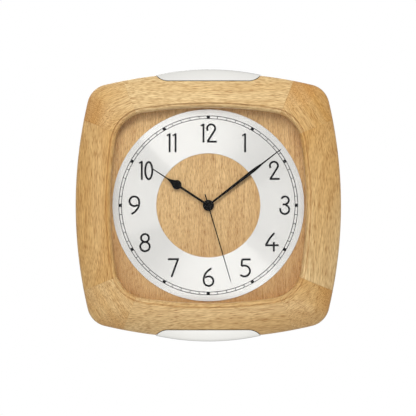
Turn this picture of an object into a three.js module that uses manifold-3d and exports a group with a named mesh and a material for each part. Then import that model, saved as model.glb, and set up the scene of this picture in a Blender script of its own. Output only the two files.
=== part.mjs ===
// Wall clock set by a radio signal: a square beech frame with bowed sides, built of four rails
// and four corner blocks, a glass pane, a silver dial ring on a beech board, three black hands
// and a battery movement fixed through the board. Millimetres.
// The clock is drawn lying on its back: x to the right, y up the dial, z out from the wall.

import * as THREE from 'three';
import { mergeVertices } from 'three/addons/utils/BufferGeometryUtils.js';
import Module from 'manifold-3d';

const wasm = await Module();
wasm.setup();

// Clearance between pieces that touch or turn in each other
const GAP = 0.3;

// Frame outline seen from the front: four shallow arcs joined by corner fillets
const FRAME_HALF = 166;
const FRAME_SIDE_RADIUS = 562;
const FRAME_CORNER_RADIUS = 28.4;
const SIDE_STEPS = 10;
const CORNER_STEPS = 6;

// Frame section: side wall, rounded edge, sloping front, small step and bead round the opening
const FRONT_WIDTH = 38.5;
const FRONT_STEPS = 7;
const EDGE_ROUND = 8;
const EDGE_SLOPE = 42;
const CREST_SLOPE = 9;
const STEP_CORNER_RADIUS = 46.5;
const STEP_DROP = 1.2;
const STEP_WIDTH = 0.4;
const BEAD_WIDTH = 6;
const BEAD_DROP = 7;
const BEAD_STEPS = 3;
const LIP_WALL = 1.8;
const GLASS_REBATE = 4.5;
const BOARD_LEDGE = 8;

// Mitres between the rails and the corner blocks
const MITRE_ANGLE = 22.5;
const MITRE_FOOT = 42;

// Metal inserts let into the outer edge of the top and bottom rails
const INSERT_INSET = 11;
const INSERT_PROUD = 4.3;
const INSERT_FLAT_HALF = 50;
const INSERT_END_RADIUS = 20;
const INSERT_ARC_RADIUS = 306;
const INSERT_FLOOR = 12;
const INSERT_TIP = 0.5;
const INSERT_STATIONS = 16;
const INSERT_STRIPS = 5;
const INSERT_SCREW_SPREAD = 40;
const INSERT_SCREW_INSET = 7.5;
const INSERT_SCREW = { head: 3, headHeight: 1.8, shank: 1.5, length: 20 };
const INSERT_SCREW_SINK = 0.8;

// Steel keyhole plate let into the back of the top rail
const HOOK_INSET = 14;
const HANGER_WIDTH = 44;
const HANGER_ABOVE = 4.5;
const HANGER_BELOW = 15.5;
const HANGER_THICKNESS = 1.5;
const HANGER_SINK = 1.5;
const HANGER_CORNER = 2;
const KEYHOLE_SLOT = 2.3;
const KEYHOLE_ENTRY = 4.2;
const KEYHOLE_DROP = 8.2;
const POCKET_HALF = 5.5;
const POCKET_DEPTH = 6;
const POCKET_RIM = 1.5;
const HANGER_SCREW_SPREAD = 17;
const HANGER_SCREW_DROP = 5.5;
const HANGER_SCREW = { head: 2.75, headHeight: 1, shank: 1.3, length: 9 };

// Glass, spacer, dial board and dial ring
const HAND_CLEARANCE = 1.5;
const GLASS_THICKNESS = 2;
const BOARD_THICKNESS = 4;
const BOARD_SCREW = { head: 2.75, headHeight: 1.6, shank: 1.3, length: 13 };
const RING_MARGIN = 1.5;
const RING_WIDTH = 55;
const RING_THICKNESS = 0.8;
const RING_SIDES = 64;

// Bushing, nut and washers that clamp the movement to the board
const BUSHING_RADIUS = 3.7;
const BUSHING_FLANGE = 5;
const BUSHING_FLANGE_THICKNESS = 1.6;
const NUT_ACROSS_CORNERS = 10.6;
const NUT_THICKNESS = 2;
const BRASS_WASHER = { outer: 6, thickness: 0.5 };
const RUBBER_WASHER = { outer: 7, thickness: 1.2 };

// Movement case: the hand axis is the origin, the battery lies below it
const WALL_CLEARANCE = 2.1;
const CASE_HALF_WIDTH = 30;
const CASE_TOP = 38;
const CASE_BOTTOM = 35;
const CASE_WALL = 1.2;
const CASE_FACE = 1.4;
const CASE_CORNER = 3;
const COVER_THICKNESS = 1.4;
const BATTERY_RADIUS = 7.1;
const BATTERY_BODY = 49.5;
const BATTERY_NUB_RADIUS = 2.75;
const BATTERY_NUB = 1;
const BATTERY_SIDES = 20;
const BAY_MARGIN = 0.8;
const CONTACT_THICKNESS = 0.4;
const CONTACT_HEIGHT = 8;
const CONTACT_DEPTH = 6;
const CONTACT_TURN_UP = 4;
const ANTENNA_RADIUS = 4;
const ANTENNA_LENGTH = 50;
const ANTENNA_WINDING_RADIUS = 4.7;
const ANTENNA_WINDING_LENGTH = 24;
const ANTENNA_Y = 31;
const ANTENNA_RIB_X = 18;
const ANTENNA_RIB_THICKNESS = 2;
const ANTENNA_RIB_HEIGHT = 3.5;
const PLATE_HALF_WIDTH = 27.8;
const PLATE_TOP = 9;
const PLATE_BOTTOM = 12.5;
const PLATE_THICKNESS = 0.8;
const POST_RADIUS = 1.25;
const POST_EDGE = 1.5;
const CIRCUIT = { halfWidth: 25, bottom: 10.5, top: 26, thickness: 0.8, chip: 4, chipHeight: 1.2 };
const CIRCUIT_STANDOFF_RADIUS = 1.5;
const BUTTON_RADIUS = 2;
const BUTTON_FLANGE = 2.8;
const BUTTON_FLANGE_THICKNESS = 0.3;
const BUTTON_PROUD = 1;
const BUTTON_TRAVEL = 0.5;
const BUTTON_SPREAD = 18;
const BUTTON_Y = 21;

// Wheels: each motor drives an intermediate wheel, and that one drives a wheel on the hand axis
const TRAIN_MODULE = 0.3;
const CENTRE_TEETH = 40;
const INTERMEDIATE_PINION_TEETH = 8;
const INTERMEDIATE_TEETH = 36;
const ROTOR_TEETH = 6;
const MINUTE_PINION_TEETH = 12;
const MOTION_TEETH = 36;
const MOTION_MODULE = 0.25;
const MOTION_PINION_TEETH = 10;
const HOUR_TEETH = 40;
const ADDENDUM = 0.85;
const DEDENDUM = 1.2;
const TOOTH_FOOT_SHARE = 0.26;
const TOOTH_TIP_SHARE = 0.1;
const WHEEL_THICKNESS = 1;
const WHEEL_CLEARANCE = 1.3;
const PINION_THICKNESS = 1.4;
const ARBOR_RADIUS = 0.6;
const PIVOT_DEPTH = 0.7;
const INTERMEDIATE_ANGLE = 30;
const ROUND_SIDES = 10;
const POST_SIDES = 8;
const FINE_SIDES = 20;
const ARC_STEPS = 3;
const KEYHOLE_ARC_STEPS = 6;
const MINUTE_PIPE_RADIUS = 1.5;
const HOUR_PIPE_RADIUS = 2.6;
const HOUR_SHOULDER = 1;
const BUSHING_CLEARANCE = 1.1;
const MAGNET_RADIUS = 2.5;
const MAGNET_THICKNESS = 1.6;
const STATOR = { inward: 4.3, outward: 11.5, limb: 3, pole: 4, coilRise: 13.9, thickness: 1 };
const COIL_RADIUS = 3.4;
const COIL_LENGTH = 9;

// Hands, drawn pointing to twelve and then turned to the time shown; each length is what the
// tip leaves free inside the edge of the dial ring
const HOUR_ANGLE = 303.2;
const MINUTE_ANGLE = 52.3;
const SECOND_ANGLE = 163.5;
const HAND_THICKNESS = 0.6;
const SECOND_HAND_THICKNESS = 0.4;
const COLLET_HEIGHT = 0.5;
const COLLET_WALL = 1;
const HOUR_HAND = {
  hub: 7, bar: 1.4, disc: 5.95, discAt: 47.1, neck: 0.8, neckAt: 61.1, tip: 0.6, short: 37.4,
};
const HOUR_TAPER_ANGLE = 48;
const TAPER_STEPS = 4;
const MINUTE_HAND = {
  hub: 6.5, bar: 1.2, wide: 2.15, wideAt: 68, neck: 1, neckAt: 84, tip: 0.5, short: 5.7,
};
const SECOND_HAND = { hub: 5, bar: 0.75, tip: 0.4, short: 21.4, tail: 14.5 };
const CAP_RADIUS = 3.6;
const CAP_HEIGHT = 1.1;

const radians = THREE.MathUtils.degToRad;

// Depths from the wall, piece by piece: the cover and the wheels in the case
const CASE_BACK = WALL_CLEARANCE;
const COVER_FRONT = CASE_BACK + COVER_THICKNESS;
const LOW_WHEEL_BACK = COVER_FRONT + WHEEL_CLEARANCE;
const SECOND_WHEEL_BACK = LOW_WHEEL_BACK + WHEEL_THICKNESS + 2 * GAP;
const PLATE_BACK = SECOND_WHEEL_BACK + (WHEEL_THICKNESS + PINION_THICKNESS) / 2 + GAP;
const PLATE_FRONT = PLATE_BACK + PLATE_THICKNESS;
const MINUTE_WHEEL_BACK = PLATE_FRONT + GAP;
const MOTION_WHEEL_BACK = MINUTE_WHEEL_BACK + WHEEL_THICKNESS + 2 * GAP;
const MINUTE_PINION_FRONT = MOTION_WHEEL_BACK + WHEEL_THICKNESS + GAP;
const HOUR_PIPE_BACK = MINUTE_PINION_FRONT + GAP;
const HOUR_WHEEL_BACK = HOUR_PIPE_BACK + GAP;
const HOUR_WHEEL_FRONT = HOUR_WHEEL_BACK + WHEEL_THICKNESS;
const BUSHING_BACK = HOUR_WHEEL_FRONT + BUSHING_CLEARANCE;
const BUSHING_FLANGE_FRONT = BUSHING_BACK + BUSHING_FLANGE_THICKNESS;
const CASE_INNER_FRONT = BUSHING_FLANGE_FRONT + GAP;
const CASE_FRONT = CASE_INNER_FRONT + CASE_FACE;

// From the case to the board and the nut
const RUBBER_BACK = CASE_FRONT + GAP;
const BOARD_BACK = RUBBER_BACK + RUBBER_WASHER.thickness + GAP;
const BOARD_FRONT = BOARD_BACK + BOARD_THICKNESS;
const BOARD_RECESS = BOARD_FRONT + GAP;
const BRASS_BACK = BOARD_FRONT + GAP;
const NUT_BACK = BRASS_BACK + BRASS_WASHER.thickness + GAP;
const NUT_FRONT = NUT_BACK + NUT_THICKNESS;
const BUSHING_FRONT = NUT_FRONT + GAP;

// The hands, the glass over them and the frame round the glass
const HOUR_HAND_BACK = BUSHING_FRONT + GAP;
const HOUR_HAND_FRONT = HOUR_HAND_BACK + COLLET_HEIGHT + HAND_THICKNESS;
const MINUTE_HAND_BACK = HOUR_HAND_FRONT + GAP;
const MINUTE_HAND_FRONT = MINUTE_HAND_BACK + COLLET_HEIGHT + HAND_THICKNESS;
const SECOND_HAND_BACK = MINUTE_HAND_FRONT + GAP;
const SECOND_HAND_FRONT = SECOND_HAND_BACK + COLLET_HEIGHT + SECOND_HAND_THICKNESS;
const GLASS_BACK = SECOND_HAND_FRONT + CAP_HEIGHT + HAND_CLEARANCE;
const GLASS_FRONT = GLASS_BACK + GLASS_THICKNESS;
const SHELF_DEPTH = GLASS_FRONT + GAP;
const LIP_FRONT = SHELF_DEPTH + LIP_WALL;
const FRAME_DEPTH = LIP_FRONT + BEAD_DROP + STEP_DROP;

// Basic solids

// Outward faces: a mesh whose signed volume is negative is turned inside out
function facesOut(vertices, triangles) {
  let volume = 0;
  const corner = [new THREE.Vector3(), new THREE.Vector3(), new THREE.Vector3()];
  for (let i = 0; i < triangles.length; i += 3) {
    corner.forEach((v, k) => v.fromArray(vertices, 3 * triangles[i + k]));
    volume += corner[0].dot(corner[1].cross(corner[2]));
  }
  if (volume < 0) triangles.reverse();
  return triangles;
}

function solid(geometry) {
  const bare = geometry.clone();
  bare.deleteAttribute('normal');
  bare.deleteAttribute('uv');
  const merged = mergeVertices(bare, 1e-4);
  const index = merged.index.array;
  const triangles = [];
  for (let i = 0; i < index.length; i += 3) {
    const [a, b, c] = [index[i], index[i + 1], index[i + 2]];
    if (a !== b && b !== c && c !== a) triangles.push(a, b, c);
  }
  const vertProperties = new Float32Array(merged.attributes.position.array);
  const triVerts = new Uint32Array(facesOut(vertProperties, triangles));
  return new wasm.Manifold(new wasm.Mesh({ numProp: 3, vertProperties, triVerts }));
}

function surface(manifold) {
  const mesh = manifold.getMesh();
  const geometry = new THREE.BufferGeometry();
  geometry.setAttribute('position', new THREE.BufferAttribute(mesh.vertProperties, 3));
  geometry.setIndex(new THREE.BufferAttribute(mesh.triVerts, 1));
  return geometry;
}

function join(first, ...others) {
  return others.reduce((body, other) => body.add(other), first);
}

function cut(first, ...others) {
  return others.reduce((body, other) => body.subtract(other), first);
}

// A flat shape raised from one depth to another
function raised(shape, from, to, curveSegments = ARC_STEPS) {
  const settings = { depth: to - from, bevelEnabled: false, curveSegments };
  return solid(new THREE.ExtrudeGeometry(shape, settings).translate(0, 0, from));
}

// A profile of [radius, depth] points turned about the depth axis
function turned(profile, sides = ROUND_SIDES) {
  const points = profile.map(([radius, depth]) => new THREE.Vector2(radius, depth));
  return solid(new THREE.LatheGeometry(points, sides).rotateX(Math.PI / 2));
}

function rod(radius, from, to, sides = ROUND_SIDES) {
  return turned([[0, from], [radius, from], [radius, to], [0, to]], sides);
}

function tube(outer, inner, from, to, sides = ROUND_SIDES) {
  return turned([[inner, from], [outer, from], [outer, to], [inner, to], [inner, from]], sides);
}

function block(left, right, low, high, from, to) {
  const box = new THREE.BoxGeometry(right - left, high - low, to - from);
  return solid(box.translate((left + right) / 2, (low + high) / 2, (from + to) / 2));
}

function roundedRectangle(left, right, low, high, radius) {
  const shape = new THREE.Shape();
  shape.moveTo(left + radius, low);
  shape.absarc(right - radius, low + radius, radius, -Math.PI / 2, 0);
  shape.absarc(right - radius, high - radius, radius, 0, Math.PI / 2);
  shape.absarc(left + radius, high - radius, radius, Math.PI / 2, Math.PI);
  shape.absarc(left + radius, low + radius, radius, Math.PI, 1.5 * Math.PI);
  return shape;
}

function arcPoints(x, y, radius, start, end, steps) {
  return Array.from({ length: steps }, (_, i) => {
    const angle = start + ((end - start) * i) / steps;
    return new THREE.Vector2(x + radius * Math.cos(angle), y + radius * Math.sin(angle));
  });
}

// A skin through matching sections, closed round a ring or with its two end sections filled
function skin(sections, isRing) {
  const count = sections[0].length;
  const positions = sections.flat().flatMap((p) => [p.x, p.y, p.z]);
  const index = [];
  const bands = isRing ? sections.length : sections.length - 1;
  for (let i = 0; i < bands; i++) {
    const next = (i + 1) % sections.length;
    for (let j = 0; j < count; j++) {
      const k = (j + 1) % count;
      const [a, b, c, d] = [i * count + j, i * count + k, next * count + k, next * count + j];
      index.push(a, b, c, a, c, d);
    }
  }
  if (!isRing) {
    const last = (sections.length - 1) * count;
    for (let j = 1; j < count - 1; j++) {
      index.push(0, j + 1, j, last, last + j, last + j + 1);
    }
  }
  const geometry = new THREE.BufferGeometry();
  geometry.setAttribute('position', new THREE.Float32BufferAttribute(positions, 3));
  geometry.setIndex(index);
  return solid(geometry);
}

// Outline family of the frame

function squareOutline(half, sideRadius, cornerRadius) {
  const setback = sideRadius - half;
  const reach = sideRadius - cornerRadius;
  const corner = (Math.sqrt(2 * reach * reach - setback * setback) - setback) / 2;
  const turn = Math.atan2(corner, corner + setback);
  return { half, sideRadius, cornerRadius, setback, corner, turn };
}

function grown(outline, by) {
  return squareOutline(outline.half + by, outline.sideRadius + by, outline.cornerRadius + by);
}

const FRAME = squareOutline(FRAME_HALF, FRAME_SIDE_RADIUS, FRAME_CORNER_RADIUS);
const STEP = squareOutline(FRAME_HALF - FRONT_WIDTH, FRAME_SIDE_RADIUS - FRONT_WIDTH, STEP_CORNER_RADIUS);
const OPENING = grown(STEP, -BEAD_WIDTH);
const GLASS_SEAT = grown(OPENING, GLASS_REBATE);
const BOARD_SEAT = grown(GLASS_SEAT, BOARD_LEDGE);

function outlinePoints(outline) {
  const { setback, sideRadius, corner, cornerRadius, turn } = outline;
  const side = arcPoints(-setback, 0, sideRadius, -turn, turn, SIDE_STEPS);
  const fillet = arcPoints(corner, corner, cornerRadius, turn, Math.PI / 2 - turn, CORNER_STEPS);
  const origin = new THREE.Vector2();
  return [0, 1, 2, 3].flatMap((quarter) => [...side, ...fillet].map(
    (point) => point.clone().rotateAround(origin, (quarter * Math.PI) / 2),
  ));
}

// Distance in from the frame's outer edge: it folds along the diagonals into soft hips
function insetAt(x, y) {
  const { setback, sideRadius, corner, cornerRadius, turn } = FRAME;
  const [px, py] = [Math.abs(x), Math.abs(y)];
  const direction = Math.atan2(py - corner, px - corner);
  if (px > corner && py > corner && direction > turn && direction < Math.PI / 2 - turn) {
    return cornerRadius - Math.hypot(px - corner, py - corner);
  }
  return sideRadius - Math.max(Math.hypot(px + setback, py), Math.hypot(px, py + setback));
}

// Depth of the front: a rounded edge that runs into one long flatter arc up to the crest
const EDGE_RUN = EDGE_ROUND * (1 - Math.sin(radians(EDGE_SLOPE)));
const SLOPE_RUN = FRONT_WIDTH - EDGE_RUN;
const SLOPE_RADIUS = SLOPE_RUN / (Math.sin(radians(EDGE_SLOPE)) - Math.sin(radians(CREST_SLOPE)));
const SLOPE_CENTRE = FRONT_WIDTH + SLOPE_RADIUS * Math.sin(radians(CREST_SLOPE));
const SLOPE_BASE = FRAME_DEPTH - SLOPE_RADIUS * Math.cos(radians(CREST_SLOPE));

function frontDepth(inset) {
  const seen = Math.min(Math.max(inset, 0), FRONT_WIDTH);
  const slope = (run) => SLOPE_BASE + Math.sqrt(SLOPE_RADIUS ** 2 - (SLOPE_CENTRE - run) ** 2);
  if (seen >= EDGE_RUN) return slope(seen);
  const round = (run) => Math.sqrt(EDGE_ROUND ** 2 - (EDGE_ROUND - run) ** 2);
  return slope(EDGE_RUN) - round(EDGE_RUN) + round(seen);
}

function at(point, depth) {
  return new THREE.Vector3(point.x, point.y, depth);
}

// The whole frame in one piece, before it is cut at the mitres
function frameRing() {
  const outlines = [FRAME, STEP, grown(STEP, -STEP_WIDTH), OPENING, GLASS_SEAT, BOARD_SEAT];
  const [outer, step, foot, opening, glass, board] = outlines.map(outlinePoints);
  const sections = outer.map((edge, i) => {
    const section = [at(edge, 0)];
    for (let k = 0; k <= FRONT_STEPS; k++) {
      const point = edge.clone().lerp(step[i], (k / FRONT_STEPS) ** 2);
      section.push(at(point, frontDepth(insetAt(point.x, point.y))));
    }
    for (let k = 0; k <= BEAD_STEPS; k++) {
      const sweep = (k / BEAD_STEPS) * (Math.PI / 2);
      const point = foot[i].clone().lerp(opening[i], Math.sin(sweep));
      section.push(at(point, LIP_FRONT + BEAD_DROP * Math.cos(sweep)));
    }
    section.push(at(opening[i], SHELF_DEPTH), at(glass[i], SHELF_DEPTH));
    section.push(at(glass[i], BOARD_RECESS), at(board[i], BOARD_RECESS), at(board[i], 0));
    return section;
  });
  return skin(sections, true);
}

function polygon(points, from, to) {
  return raised(new THREE.Shape(points.map(([x, y]) => new THREE.Vector2(x, y))), from, to);
}

// Prisms that cut the ring into a top rail and a top right corner block
const CUT_TOP = FRAME_DEPTH + 2 * GAP;
const CUT_OUT = 2 * FRAME_HALF;
const MITRE_TANGENT = Math.tan(radians(MITRE_ANGLE));
const GLUE_SHIFT = GAP / 2 / Math.cos(radians(MITRE_ANGLE));

function railCutter() {
  const foot = MITRE_FOOT - GLUE_SHIFT;
  const wide = foot + MITRE_TANGENT * CUT_OUT;
  return polygon([[-foot, 0], [foot, 0], [wide, CUT_OUT], [-wide, CUT_OUT]], -1, CUT_TOP);
}

function cornerCutter() {
  const foot = MITRE_FOOT + GLUE_SHIFT;
  const apex = foot / (1 - MITRE_TANGENT);
  const wide = foot + MITRE_TANGENT * CUT_OUT;
  return polygon([[apex, apex], [CUT_OUT, wide], [CUT_OUT, CUT_OUT], [wide, CUT_OUT]], -1, CUT_TOP);
}

// Screws: a round head and a shank, pointing away from the wall

function screw({ head, headHeight, shank, length }, x, y, back) {
  const neck = back + headHeight;
  const point = neck + length;
  const profile = [[0, back], [head, back], [head, neck], [shank, neck], [shank, point], [0, point]];
  return turned(profile).translate([x, y, 0]);
}

function screwHole({ head, headHeight, shank, length }, x, y, back) {
  const neck = back + headHeight;
  const sink = rod(head + GAP, -1, neck + GAP);
  const bore = rod(shank + GAP, -1, neck + length + GAP);
  return join(sink, bore).translate([x, y, 0]);
}

function shankHole({ shank }, x, y, from, to) {
  return rod(shank + GAP, from, to).translate([x, y, 0]);
}

// Inserts of the top rail; the bottom ones are the same turned half round

const INSERT_LOW = FRAME_HALF - INSERT_INSET;
const INSERT_ARC_CENTRE = FRAME_HALF + INSERT_PROUD - INSERT_ARC_RADIUS;
const INSERT_SCREW_Y = FRAME_HALF - INSERT_SCREW_INSET;

function insertLow(x) {
  const beyond = Math.max(Math.abs(x) - INSERT_FLAT_HALF, 0);
  return INSERT_LOW + INSERT_END_RADIUS - Math.sqrt(INSERT_END_RADIUS ** 2 - beyond ** 2);
}

function insertHigh(x) {
  return INSERT_ARC_CENTRE + Math.sqrt(INSERT_ARC_RADIUS ** 2 - x ** 2);
}

// Where the rounded end meets the outer arc, found by halving
function insertReach() {
  let [near, far] = [INSERT_FLAT_HALF, INSERT_FLAT_HALF + INSERT_END_RADIUS];
  while (far - near > 1e-6) {
    const middle = (near + far) / 2;
    if (insertHigh(middle) > insertLow(middle)) near = middle;
    else far = middle;
  }
  return near - INSERT_TIP;
}

function insertBody() {
  const reach = insertReach();
  const sections = [];
  for (let i = 0; i <= INSERT_STATIONS; i++) {
    const x = reach * Math.sin((i / INSERT_STATIONS - 0.5) * Math.PI);
    const [low, high] = [insertLow(x), insertHigh(x)];
    const section = [new THREE.Vector3(x, low, INSERT_FLOOR)];
    for (let k = INSERT_STRIPS; k >= 0; k--) {
      const share = (k / INSERT_STRIPS) ** 2;
      const depth = frontDepth(share * insetAt(x, low));
      section.push(new THREE.Vector3(x, high + (low - high) * share, depth));
    }
    section.push(new THREE.Vector3(x, high, INSERT_FLOOR));
    sections.push(section);
  }
  return skin(sections, false);
}

function insertNotch() {
  const radius = INSERT_END_RADIUS + GAP;
  const [side, low] = [INSERT_FLAT_HALF, INSERT_LOW + INSERT_END_RADIUS];
  const shape = new THREE.Shape();
  shape.moveTo(-side - radius, CUT_OUT);
  shape.absarc(-side, low, radius, Math.PI, 1.5 * Math.PI);
  shape.absarc(side, low, radius, -Math.PI / 2, 0);
  shape.lineTo(side + radius, CUT_OUT);
  return raised(shape, INSERT_FLOOR - GAP, CUT_TOP);
}

const insertSides = [-INSERT_SCREW_SPREAD, INSERT_SCREW_SPREAD];

function insertHoles() {
  return insertSides.map((x) => screwHole(INSERT_SCREW, x, INSERT_SCREW_Y, INSERT_SCREW_SINK));
}

// Keyhole plate and the pocket behind it

const HOOK_Y = FRAME_HALF - HOOK_INSET;
const HANGER_FRONT = HANGER_SINK + HANGER_THICKNESS;
const HANGER_SCREW_Y = HOOK_Y - HANGER_SCREW_DROP;
const HANGER_SCREW_BACK = HANGER_SINK - GAP - HANGER_SCREW.headHeight;
const hangerSides = [-HANGER_SCREW_SPREAD, HANGER_SCREW_SPREAD];

function hangerShape(margin) {
  const [half, low, high] = [HANGER_WIDTH / 2, HOOK_Y - HANGER_BELOW, HOOK_Y + HANGER_ABOVE];
  return roundedRectangle(-half - margin, half + margin, low - margin, high + margin, HANGER_CORNER);
}

function keyholePath() {
  const entry = HOOK_Y - KEYHOLE_DROP;
  const meeting = Math.acos(KEYHOLE_SLOT / KEYHOLE_ENTRY);
  const path = new THREE.Path();
  path.absarc(0, HOOK_Y, KEYHOLE_SLOT, 0, Math.PI);
  path.absarc(0, entry, KEYHOLE_ENTRY, Math.PI - meeting, 2 * Math.PI + meeting);
  return path;
}

function hangerPlate() {
  const shape = hangerShape(0);
  shape.holes.push(keyholePath());
  const plate = raised(shape, HANGER_SINK, HANGER_FRONT, KEYHOLE_ARC_STEPS);
  return cut(plate, ...hangerSides.map((x) => shankHole(HANGER_SCREW, x, HANGER_SCREW_Y, 0, FRAME_DEPTH)));
}

function hangerCuts() {
  const seat = HANGER_FRONT + GAP;
  const [low, high] = [HOOK_Y - HANGER_BELOW + POCKET_RIM, HOOK_Y + HANGER_ABOVE - POCKET_RIM];
  const pocket = roundedRectangle(-POCKET_HALF, POCKET_HALF, low, high, HANGER_CORNER);
  const screws = hangerSides.map((x) => screwHole(HANGER_SCREW, x, HANGER_SCREW_Y, HANGER_SCREW_BACK));
  return [raised(hangerShape(GAP), -1, seat), raised(pocket, -1, seat + POCKET_DEPTH), ...screws];
}

// Dial side

const RING_OUTER = OPENING.half - RING_MARGIN;
const RING_INNER = RING_OUTER - RING_WIDTH;
const BOARD_SCREW_REACH = (GLASS_SEAT.half + BOARD_SEAT.half) / 2;
const BOARD_SCREW_BACK = BOARD_BACK - GAP - BOARD_SCREW.headHeight;

function outlineShape(outline) {
  return new THREE.Shape(outlinePoints(outline));
}

function boardScrewHole() {
  return screwHole(BOARD_SCREW, 0, BOARD_SCREW_REACH, BOARD_SCREW_BACK);
}

function spacerFrame() {
  const shape = outlineShape(grown(GLASS_SEAT, -GAP));
  shape.holes.push(outlineShape(grown(OPENING, GAP)));
  return raised(shape, BOARD_RECESS, GLASS_BACK - GAP);
}

function dialBoard() {
  const board = raised(outlineShape(grown(BOARD_SEAT, -GAP)), BOARD_BACK, BOARD_FRONT);
  const hole = shankHole(BOARD_SCREW, 0, BOARD_SCREW_REACH, 0, FRAME_DEPTH);
  const holes = [0, 1, 2, 3].map((quarters) => quarterTurn(hole, quarters));
  return cut(board, rod(BUSHING_RADIUS + GAP, 0, FRAME_DEPTH, FINE_SIDES), ...holes);
}

function dialRing() {
  const back = BOARD_FRONT + GAP;
  return tube(RING_OUTER, RING_INNER, back, back + RING_THICKNESS, RING_SIDES);
}

function quarterTurn(body, quarters) {
  return body.rotate([0, 0, 90 * quarters]);
}

function washer({ outer, thickness }, back) {
  return tube(outer, BUSHING_RADIUS + GAP, back, back + thickness, FINE_SIDES);
}

function bushing() {
  const bore = HOUR_PIPE_RADIUS + GAP;
  const flange = tube(BUSHING_FLANGE, bore, BUSHING_BACK, BUSHING_FLANGE_FRONT, FINE_SIDES);
  return join(flange, tube(BUSHING_RADIUS, bore, BUSHING_BACK, BUSHING_FRONT, FINE_SIDES));
}

function nut() {
  const body = rod(NUT_ACROSS_CORNERS / 2, NUT_BACK, NUT_FRONT, 6);
  return cut(body, rod(BUSHING_RADIUS + GAP, 0, FRAME_DEPTH, FINE_SIDES));
}

// Movement case, cover and what they hold

const CASE_INNER_HALF = CASE_HALF_WIDTH - CASE_WALL;
const BATTERY_Y = CASE_WALL + BAY_MARGIN + BATTERY_RADIUS - CASE_BOTTOM;
const BATTERY_DEPTH = CASE_INNER_FRONT - GAP - BATTERY_RADIUS;
const BATTERY_HALF = (BATTERY_BODY + BATTERY_NUB) / 2;
const BAY_TOP = BATTERY_Y + BATTERY_RADIUS + BAY_MARGIN;
const ANTENNA_DEPTH = CASE_INNER_FRONT - ANTENNA_RIB_HEIGHT - GAP - ANTENNA_RADIUS;
const BUTTON_FRONT = COVER_FRONT + GAP + BUTTON_FLANGE_THICKNESS;
const CIRCUIT_BACK = BUTTON_FRONT + BUTTON_TRAVEL + GAP;
const INTERMEDIATE_REACH = (TRAIN_MODULE * (CENTRE_TEETH + INTERMEDIATE_PINION_TEETH)) / 2;
const ROTOR_REACH = (TRAIN_MODULE * (INTERMEDIATE_TEETH + ROTOR_TEETH)) / 2;
const MOTION_REACH = (MOTION_MODULE * (MINUTE_PINION_TEETH + MOTION_TEETH)) / 2;
const HOUR_MODULE = (2 * MOTION_REACH) / (MOTION_PINION_TEETH + HOUR_TEETH);

// The seconds motor is on the left, the motor for minutes and hours on the right
const LEFT = -1;
const RIGHT = 1;

function intermediateAt(side) {
  const angle = radians(INTERMEDIATE_ANGLE);
  return [side * INTERMEDIATE_REACH * Math.cos(angle), INTERMEDIATE_REACH * Math.sin(angle)];
}

function rotorAt(side) {
  const [x, y] = intermediateAt(side);
  return [x + side * ROTOR_REACH, y];
}

function caseOutline(inset, radius) {
  const half = CASE_HALF_WIDTH - inset;
  return roundedRectangle(-half, half, inset - CASE_BOTTOM, CASE_TOP - inset, radius);
}

function socket([x, y], from, to) {
  return rod(ARBOR_RADIUS + GAP, from, to).translate([x, y, 0]);
}

function movementCase() {
  const back = COVER_FRONT + GAP;
  const shell = raised(caseOutline(0, CASE_CORNER), back, CASE_FRONT);
  const room = raised(caseOutline(CASE_WALL, CASE_CORNER - CASE_WALL), 0, CASE_INNER_FRONT);
  const half = CASE_INNER_HALF + CASE_WALL / 2;
  const divider = block(-half, half, BAY_TOP, BAY_TOP + CASE_WALL, back, CASE_FRONT);
  const postX = PLATE_HALF_WIDTH - POST_EDGE;
  const postY = [POST_EDGE - PLATE_BOTTOM, PLATE_TOP - POST_EDGE];
  const post = rod(POST_RADIUS, PLATE_FRONT + GAP, CASE_FRONT - CASE_FACE / 2, POST_SIDES);
  const posts = [-postX, postX].flatMap((x) => postY.map((y) => post.translate([x, y, 0])));
  const ribs = [-ANTENNA_RIB_X, ANTENNA_RIB_X].map((x) => block(
    x - ANTENNA_RIB_THICKNESS / 2, x + ANTENNA_RIB_THICKNESS / 2, ANTENNA_Y - ANTENNA_RADIUS / 2,
    ANTENNA_Y + ANTENNA_RADIUS / 2, CASE_INNER_FRONT - ANTENNA_RIB_HEIGHT, CASE_FRONT - CASE_FACE / 2,
  ));
  const ends = [rotorAt(LEFT), rotorAt(RIGHT), intermediateAt(RIGHT), [0, -MOTION_REACH]];
  const sockets = ends.map((end) => socket(end, 0, CASE_INNER_FRONT + PIVOT_DEPTH + GAP));
  const hole = rod(BUSHING_RADIUS + GAP, 0, FRAME_DEPTH, FINE_SIDES);
  return cut(join(cut(shell, room), divider, ...posts, ...ribs), hole, ...sockets);
}

function movementCover() {
  const plate = raised(caseOutline(0, CASE_CORNER), CASE_BACK, COVER_FRONT);
  const bayHalf = BATTERY_HALF + GAP + CONTACT_THICKNESS;
  const reach = BATTERY_RADIUS + GAP;
  const bay = block(-bayHalf, bayHalf, BATTERY_Y - reach, BATTERY_Y + reach, 0, CASE_FRONT);
  const ends = [[0, 0], ...[LEFT, RIGHT].flatMap((side) => [rotorAt(side), intermediateAt(side)])];
  const sockets = ends.map((end) => socket(end, COVER_FRONT - PIVOT_DEPTH - GAP, CASE_FRONT));
  const buttons = [LEFT, RIGHT].map(
    (side) => rod(BUTTON_RADIUS + GAP, 0, CASE_FRONT).translate([side * BUTTON_SPREAD, BUTTON_Y, 0]),
  );
  const inset = CIRCUIT_STANDOFF_RADIUS;
  const [side, low, high] = [CIRCUIT.halfWidth - inset, CIRCUIT.bottom + inset, CIRCUIT.top - inset];
  const standoff = rod(inset, CASE_BACK + COVER_THICKNESS / 2, CIRCUIT_BACK - GAP, POST_SIDES);
  const standoffs = [-side, side].flatMap((x) => [low, high].map((y) => standoff.translate([x, y, 0])));
  return cut(join(plate, ...standoffs), bay, ...sockets, ...buttons);
}

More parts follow.
